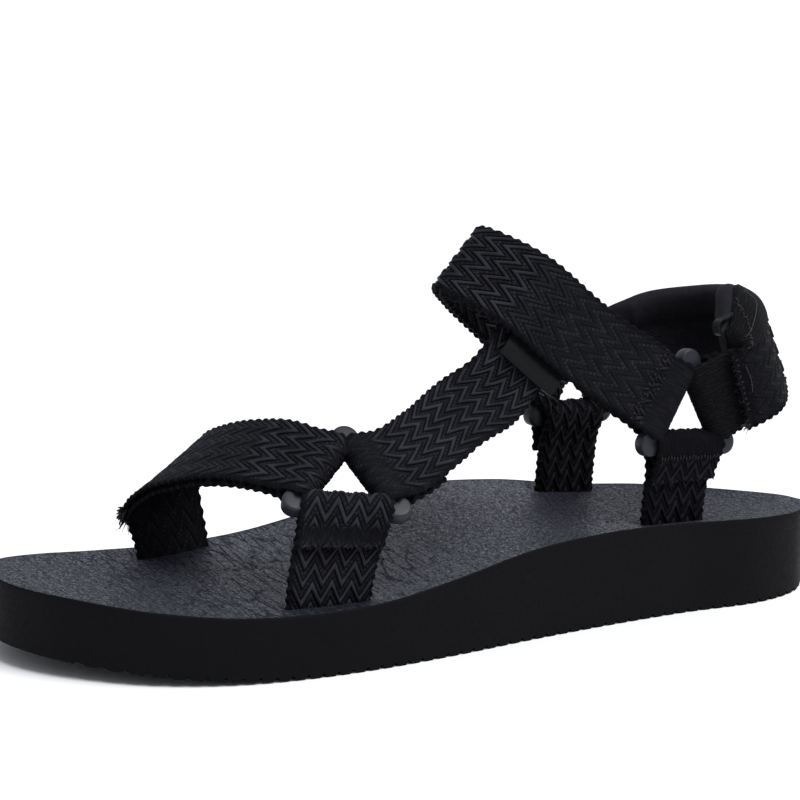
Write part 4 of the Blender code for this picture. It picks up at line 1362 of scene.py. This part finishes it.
def make_keeper(spine, finish):
    """A smooth tape folded round the instep strap's lower layer; its legs hold the diagonal strap's end."""
    where = keeper_station(spine) + KEEPER_WIDTH * np.linspace(-0.5, 0.5, KEEPER_STATIONS)
    line = spine.layer(where, -LAYER_OFFSET - keeper_swell(spine, where))[0]
    across, outward = spine.across(where), spine.outward(where)
    outline = keeper_outline()
    sections = np.stack([line + across * a + outward * b for a, b in outline], 1)
    add_tube("keeper_loop", sections, [finish], sharp_deg=50, replaces="strap_keeper")
    middle = len(where) // 2
    front = line[middle] - across[middle] * (WEB_WIDTH / 2 + KEEPER_LEG)
    return front, across[middle], spine.tangent(where)[middle]


def rim_height(spine, where):
    """Height of the collar's rim over the middle of the heel strap."""
    table = dict(zip(PAD_RIM_COLUMNS, np.array(PAD_RIM).T))
    return curve_through(table["share"], table["above"], where / spine.length)


def make_heel_pad(spine, finishes):
    """The padded collar inside the heel strap, with a rolled upper rim and a sewn groove below it."""
    start, end = PAD_START, spine.length - PAD_START
    where = np.linspace(start, end, PAD_STATIONS)
    rim = rim_height(spine, where) - PAD_RIM_RADIUS
    roll = [
        (rim + PAD_RIM_RADIUS * math.sin(a), PAD_RIM_RADIUS * (1 - math.cos(a)))
        for a in np.radians(np.arange(0, 151, 15))
    ]
    face = [(rim - depth, thickness) for depth, thickness in PAD_FACE]
    foot = [(0 * rim + height - PAD_BELOW, thickness) for height, thickness in PAD_FOOT]
    section = roll + face + foot
    taper = np.minimum(1.0, PAD_END_SHARE + np.minimum(where - start, end - where) / PAD_END_TAPER)
    points, uv = [], []
    for a, inward in section:
        layer = spine.layer(where, COLLAR_FACE - inward * taper)[0]
        points.append(layer + spine.across(where) * np.reshape(a, (-1, 1)))
        uv.append(np.stack([where, a + inward], -1))
    bound = np.repeat(where[:-1] - start < BINDING_WIDTH, len(section))
    picks = np.concatenate([bound, [True, False]])
    pad = add_tube(
        "heel_collar", np.stack(points, 1), [finishes["lining"], finishes["binding"]], np.stack(uv, 1), picks=picks,
        sharp_deg=70, replaces="heel_pad",
    )
    smooth = len(roll) + PAD_SMOOTH_ROWS
    ribbed = np.array([0.0] * smooth + [1.0] * (len(section) - smooth))
    mark_points(pad.data, "ribbed", np.tile(ribbed, len(where)))


def cover_at(spine, where, share, height):
    """A point on the tape over the collar's outer side, this share of the way up and this high above it."""
    where, share = np.asarray(where, float), np.asarray(share, float)
    inner = COLLAR_FACE + COVER_THICKNESS
    outer = heel_offset(spine, where) + WEB_THICKNESS / 2 + COVER_PROUD
    outer = inner + (outer - inner) * ease((where - PAD_START) / COVER_START)
    low = WEB_WIDTH / 2 - COVER_OVERLAP
    high = rim_height(spine, where) - COVER_BELOW_RIM
    line = spine.layer(where, outer + (inner - outer) * share**2 + height)[0]
    return line + spine.across(where) * np.reshape(low + (high - low) * share, (-1, 1))


def make_cover(spine, finish):
    """The tape that closes the gap between the collar and the heel strap's upper edge."""
    where = np.linspace(PAD_START + COVER_LEAD, spine.length - 2 * PAD_START, PAD_STATIONS)
    shares = np.linspace(0, 1, COVER_ROWS)
    outline = [(share, 0.0) for share in shares] + [(share, -COVER_THICKNESS) for share in shares[::-1]]
    points = np.stack([cover_at(spine, where, share + 0 * where, height) for share, height in outline], 1)
    uv = np.stack([np.stack([where / WEAVE_REPEAT, share + 0 * where], -1) for share, _ in outline], 1)
    add_tube("collar_cover", points, [finish], uv, sharp_deg=60)


def make_lip(spine, finish):
    """The end of the collar's binding, curled up on itself."""
    where = np.array([LIP_PLACE[0]])
    along, up, out = spine.tangent(where)[0], spine.across(where)[0], spine.outward(where)[0]
    middle = spine.middle(where)[0] + up * LIP_PLACE[1] + out * COLLAR_FACE
    curl = curve_through(np.arange(len(LIP_CURL)), np.array(LIP_CURL), np.linspace(0, len(LIP_CURL) - 1, LIP_ROWS))
    run = unit(np.gradient(curl, axis=0))
    aside = np.stack([-run[:, 1], run[:, 0]], 1) * LIP_THICKNESS / 2
    near, far = LIP_DEPTH
    points = []
    for place, step in zip(curl, aside):
        for flat, depth in ((place + step, near), (place + step, far), (place - step, far), (place - step, near)):
            points.append(middle + along * flat[0] + up * flat[1] - out * depth)
    add_tube("collar_lip", np.reshape(points, (LIP_ROWS, -1, 3)), [finish], sharp_deg=50)


# Stitches and loose fibres


def thread_mesh(lines, radius, sides):
    """Thin round threads along short lines of points, as one list of points and faces."""
    points, faces = [], []
    turns = np.linspace(0, 2 * math.pi, sides, endpoint=False)
    for line in lines:
        run = unit(np.gradient(line, axis=0))
        aside = unit(np.cross(run, THREAD_SIDE))
        above = np.cross(run, aside)
        start = len(points)
        size = radius * np.concatenate([[THREAD_TIP], np.ones(len(line) - 2), [THREAD_TIP]])
        for i, middle in enumerate(line):
            points += [middle + size[i] * (math.cos(turn) * aside[i] + math.sin(turn) * above[i]) for turn in turns]
        faces += [tuple(start + corner for corner in face) for face in tube_faces(len(line), sides)]
    return points, faces


def stitch_row(bands, row):
    """A row of short stitches across a strap, each lying along it."""
    at = dict(zip(STITCH_COLUMNS, row))
    band, count, reach = bands[at["strap"]], at["count"], at["reach"]
    along = at["along"] if at["along"] > 0 else band.length + at["along"]
    t = np.linspace(-0.5, 0.5, 5)
    height = at["lift"] * np.cos(math.pi * t) - STITCH_SINK
    lines = []
    for i, share in enumerate(np.linspace(at["from_share"], at["to_share"], count)):
        slant = STITCH_SLANT / count * math.sin(2.4 * i)
        shift = STITCH_SHIFT * math.sin(1.7 * i)
        lines.append(band.at(along + reach * (t + shift), share + slant * 2 * t, height))
    return lines


def knots(spine, random):
    """Short bars of thread one over another up the tape, where it is sewn to the collar."""
    lines = []
    t = np.linspace(-0.5, 0.5, 5)
    low, rise = KNOT_HEIGHT
    for up in np.linspace(*KNOT_SHARES, KNOT_COUNT):
        along = KNOT_START + KNOT_RUN * up + random.normal(0, KNOT_SHIFT) + random.uniform(*KNOT_LENGTH) * t
        share = np.clip(up + KNOT_TILT * random.normal() * t, 0, 1)
        lines.append(cover_at(spine, along, share, low + rise * np.cos(math.pi * t)))
    return lines


def fray(band, at_end, count, length, random, shares=FRAY_SHARES):
    """Short loose fibres out of a strap's cut end."""
    lines = []
    edge, sign = (band.length, 1) if at_end else (0.0, -1)
    _, across, normal, _, _, tangent = (part[0] for part in band.read(np.array([edge])))
    t = np.linspace(0, 1, 5)[:, None]
    for _ in range(count):
        share = np.array([random.uniform(*shares)])
        depth = np.array([random.uniform(*FRAY_DEPTH)])
        root = band.at(np.array([edge - sign * FRAY_ROOT]), share, depth)[0]
        way = unit(tangent * sign + across * random.normal(0, FRAY_SWAY) + normal * random.normal(0, FRAY_LIFT))
        bend = across * random.normal(0, FRAY_SWAY) + normal * random.normal(0, FRAY_SWAY) - (0, 0, FRAY_SAG)
        reach = length * random.uniform(*FRAY_REACH)
        lines.append(root + way * reach * t + bend * reach * 0.5 * t**2)
    return lines


def tuft(band, random):
    """Thick yarn ends that stand out of a corner of a strap's cut end, on the toe's side."""
    lines = []
    t = np.linspace(0, 1, 5)[:, None]
    for _ in range(TUFT_COUNT):
        along = np.array([band.length - random.uniform(*TUFT_SPAN)])
        root = band.at(along, np.array([TUFT_SHARE]), np.array([random.uniform(*TUFT_DEPTH)]))[0]
        _, across, normal, _, _, tangent = (part[0] for part in band.read(along))
        way = unit(tangent * random.normal(0.5, 0.5) + normal * random.normal(0, 0.4) - across)
        bend = tangent * random.normal(0.2, 0.4) + normal * random.normal(0, 0.4)
        lines.append(root + random.uniform(*TUFT_REACH) * (way * t + TUFT_BEND * bend * t**2))
    return lines


def loose_lines(heel, heel_line):
    """The two long loose threads by the heel."""
    rows = np.arange(len(LOOSE_THREAD))
    by_collar = curve_through(
        rows, cover_at(heel_line, *np.array(LOOSE_THREAD).T), np.linspace(0, rows[-1], LOOSE_POINTS)
    )
    down = np.linspace(*HANGING_SHARES, HANGING_POINTS)
    along = HANGING_ALONG + HANGING_WAVE * np.sin(HANGING_TURN * down)
    return [by_collar, heel.at(along, down, HANGING_HEIGHT + 0 * down)]


def make_threads(bands, heel_line):
    random = np.random.default_rng(SEED)
    heel = bands["heel_strap"]
    lines = {name: [] for name in THREADS}
    for name in LOOPS:
        lines["frayed_fibres"] += fray(bands[name], *LOOP_FRAY, random)
    for row in STITCH_ROWS:
        lines["seam_stitches"] += stitch_row(bands, row)
    lines["seam_stitches"] += knots(heel_line, random)
    for name, *ends in END_FRAYS:
        lines["frayed_fibres"] += fray(bands[name], *ends, random)
    lines["loose_threads"] += loose_lines(heel, heel_line)
    lines["loose_threads"] += fray(heel, *LOOSE_FRAY, random, LOOSE_FRAY_SHARES)
    lines["yarn_ends"] += tuft(bands["toe_strap"], random)
    for name, row in THREADS.items():
        thread = dict(zip(THREAD_COLUMNS, row))
        points, faces = thread_mesh(lines[name], thread["radius"], thread["sides"])
        add_piece(name, points, faces, [thread_finish(thread["finish"], thread["colour"], thread["roughness"])])


# Stage


def make_camera():
    turn, drop, roll = (math.radians(a) for a in (CAMERA_TURN_DEG, CAMERA_DROP_DEG, CAMERA_ROLL_DEG))
    forward = np.array([math.sin(turn) * math.cos(drop), math.cos(turn) * math.cos(drop), -math.sin(drop)])
    level = np.array([math.cos(turn), -math.sin(turn), 0.0])
    upright = np.cross(level, forward)
    right = math.cos(roll) * level + math.sin(roll) * upright
    up = math.cos(roll) * upright - math.sin(roll) * level
    eye = (np.array(CAMERA_TARGET) - forward * CAMERA_DISTANCE) * MM
    lens = bpy.data.cameras.new("photo_camera")
    lens.lens = CAMERA_LENS
    lens.sensor_width = CAMERA_SENSOR
    lens.clip_start = CAMERA_CLIP
    camera = link(bpy.data.objects.new("photo_camera", lens))
    camera.matrix_world = Matrix([*zip(right, up, -forward, eye), (0, 0, 0, 1)])
    bpy.context.scene.camera = camera


def make_light():
    lamp = bpy.data.lights.new("soft_light", "SUN")
    lamp.energy = SUN_STRENGTH
    lamp.angle = math.radians(SUN_SPREAD_DEG)
    light = link(bpy.data.objects.new("soft_light", lamp))
    light.location = SUN_PLACE
    light.rotation_euler = Vector(SUN_PLACE).to_track_quat("Z", "Y").to_euler()


def make_floor():
    mesh = bpy.data.meshes.new("floor")
    side = FLOOR_SIDE
    mesh.from_pydata([(-side, -side, 0), (side, -side, 0), (side, side, 0), (-side, side, 0)], [], [(0, 1, 2, 3)])
    mesh.materials.append(Finish("floor_paper", 0.9, 0.1, FLOOR_COLOUR).made)
    floor = link(bpy.data.objects.new("floor", mesh))


def make_sky():
    """A white sky that is brighter towards the far side."""
    world = bpy.data.worlds.new("studio")
    bpy.context.scene.world = world
    world.use_nodes = True
    sky = Nodes(world.node_tree)
    background = world.node_tree.nodes["Background"]
    far = sky.node("SeparateXYZ", "Y", {"Vector": sky.node("TexCoord", "Generated", {})})
    numbers = (far, *BACKDROP_REACH, SKY_STRENGTH, BACKDROP_STRENGTH)
    sky.feed(background.inputs["Color"], SKY_COLOUR)
    sky.feed(background.inputs["Strength"], sky.node("MapRange", "Result", dict(zip(RANGE_SOCKETS, numbers))))
    bpy.context.scene.view_settings.view_transform = "Standard"


def make_straps(rings, finishes):
    """All webbing with the keeper and the heel's collar."""
    front, near, far = rings["front_ring"], rings["lateral_rear_ring"], rings["medial_rear_ring"]
    instep = ring_to_ring(near, far, "front", INSTEP_STRAP_BENDS)
    heel = ring_to_ring(near, far, "rear", HEEL_STRAP_BENDS)
    bands = {
        "lateral_front_loop": loop_band(front, "lateral_front"),
        "lateral_rear_loop": loop_band(near, "lateral_rear"),
        "medial_rear_loop": loop_band(far, "medial_rear"),
        "toe_strap": toe_band(front),
        "instep_strap": instep_band(instep),
        "diagonal_strap": diagonal_band(front, make_keeper(instep, finishes["keeper"])),
        "heel_tab": heel_tab_band(heel),
        "heel_strap": heel_band(heel),
    }
    for name, band in bands.items():
        band.weave(name, finishes[WEB_FINISHES.get(name, "web")], FLATTENED[name], STRETCH.get(name, 1.0))
    make_heel_pad(heel, finishes)
    make_cover(heel, finishes["ribbed"])
    make_lip(heel, finishes["keeper"])
    make_threads(bands, heel)


def main():
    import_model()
    make_camera()
    make_floor()
    make_sky()
    make_light()
    finishes = make_finishes()
    make_sole(finishes)
    rings = {name: Ring(row) for name, row in RINGS.items()}
    for name, ring in rings.items():
        # The medial ring gets the darker copy of the plastic: painted shade
        make_ring(name, ring, finishes["shaded_ring" if name == "medial_rear_ring" else "ring"])
    make_straps(rings, finishes)


main()
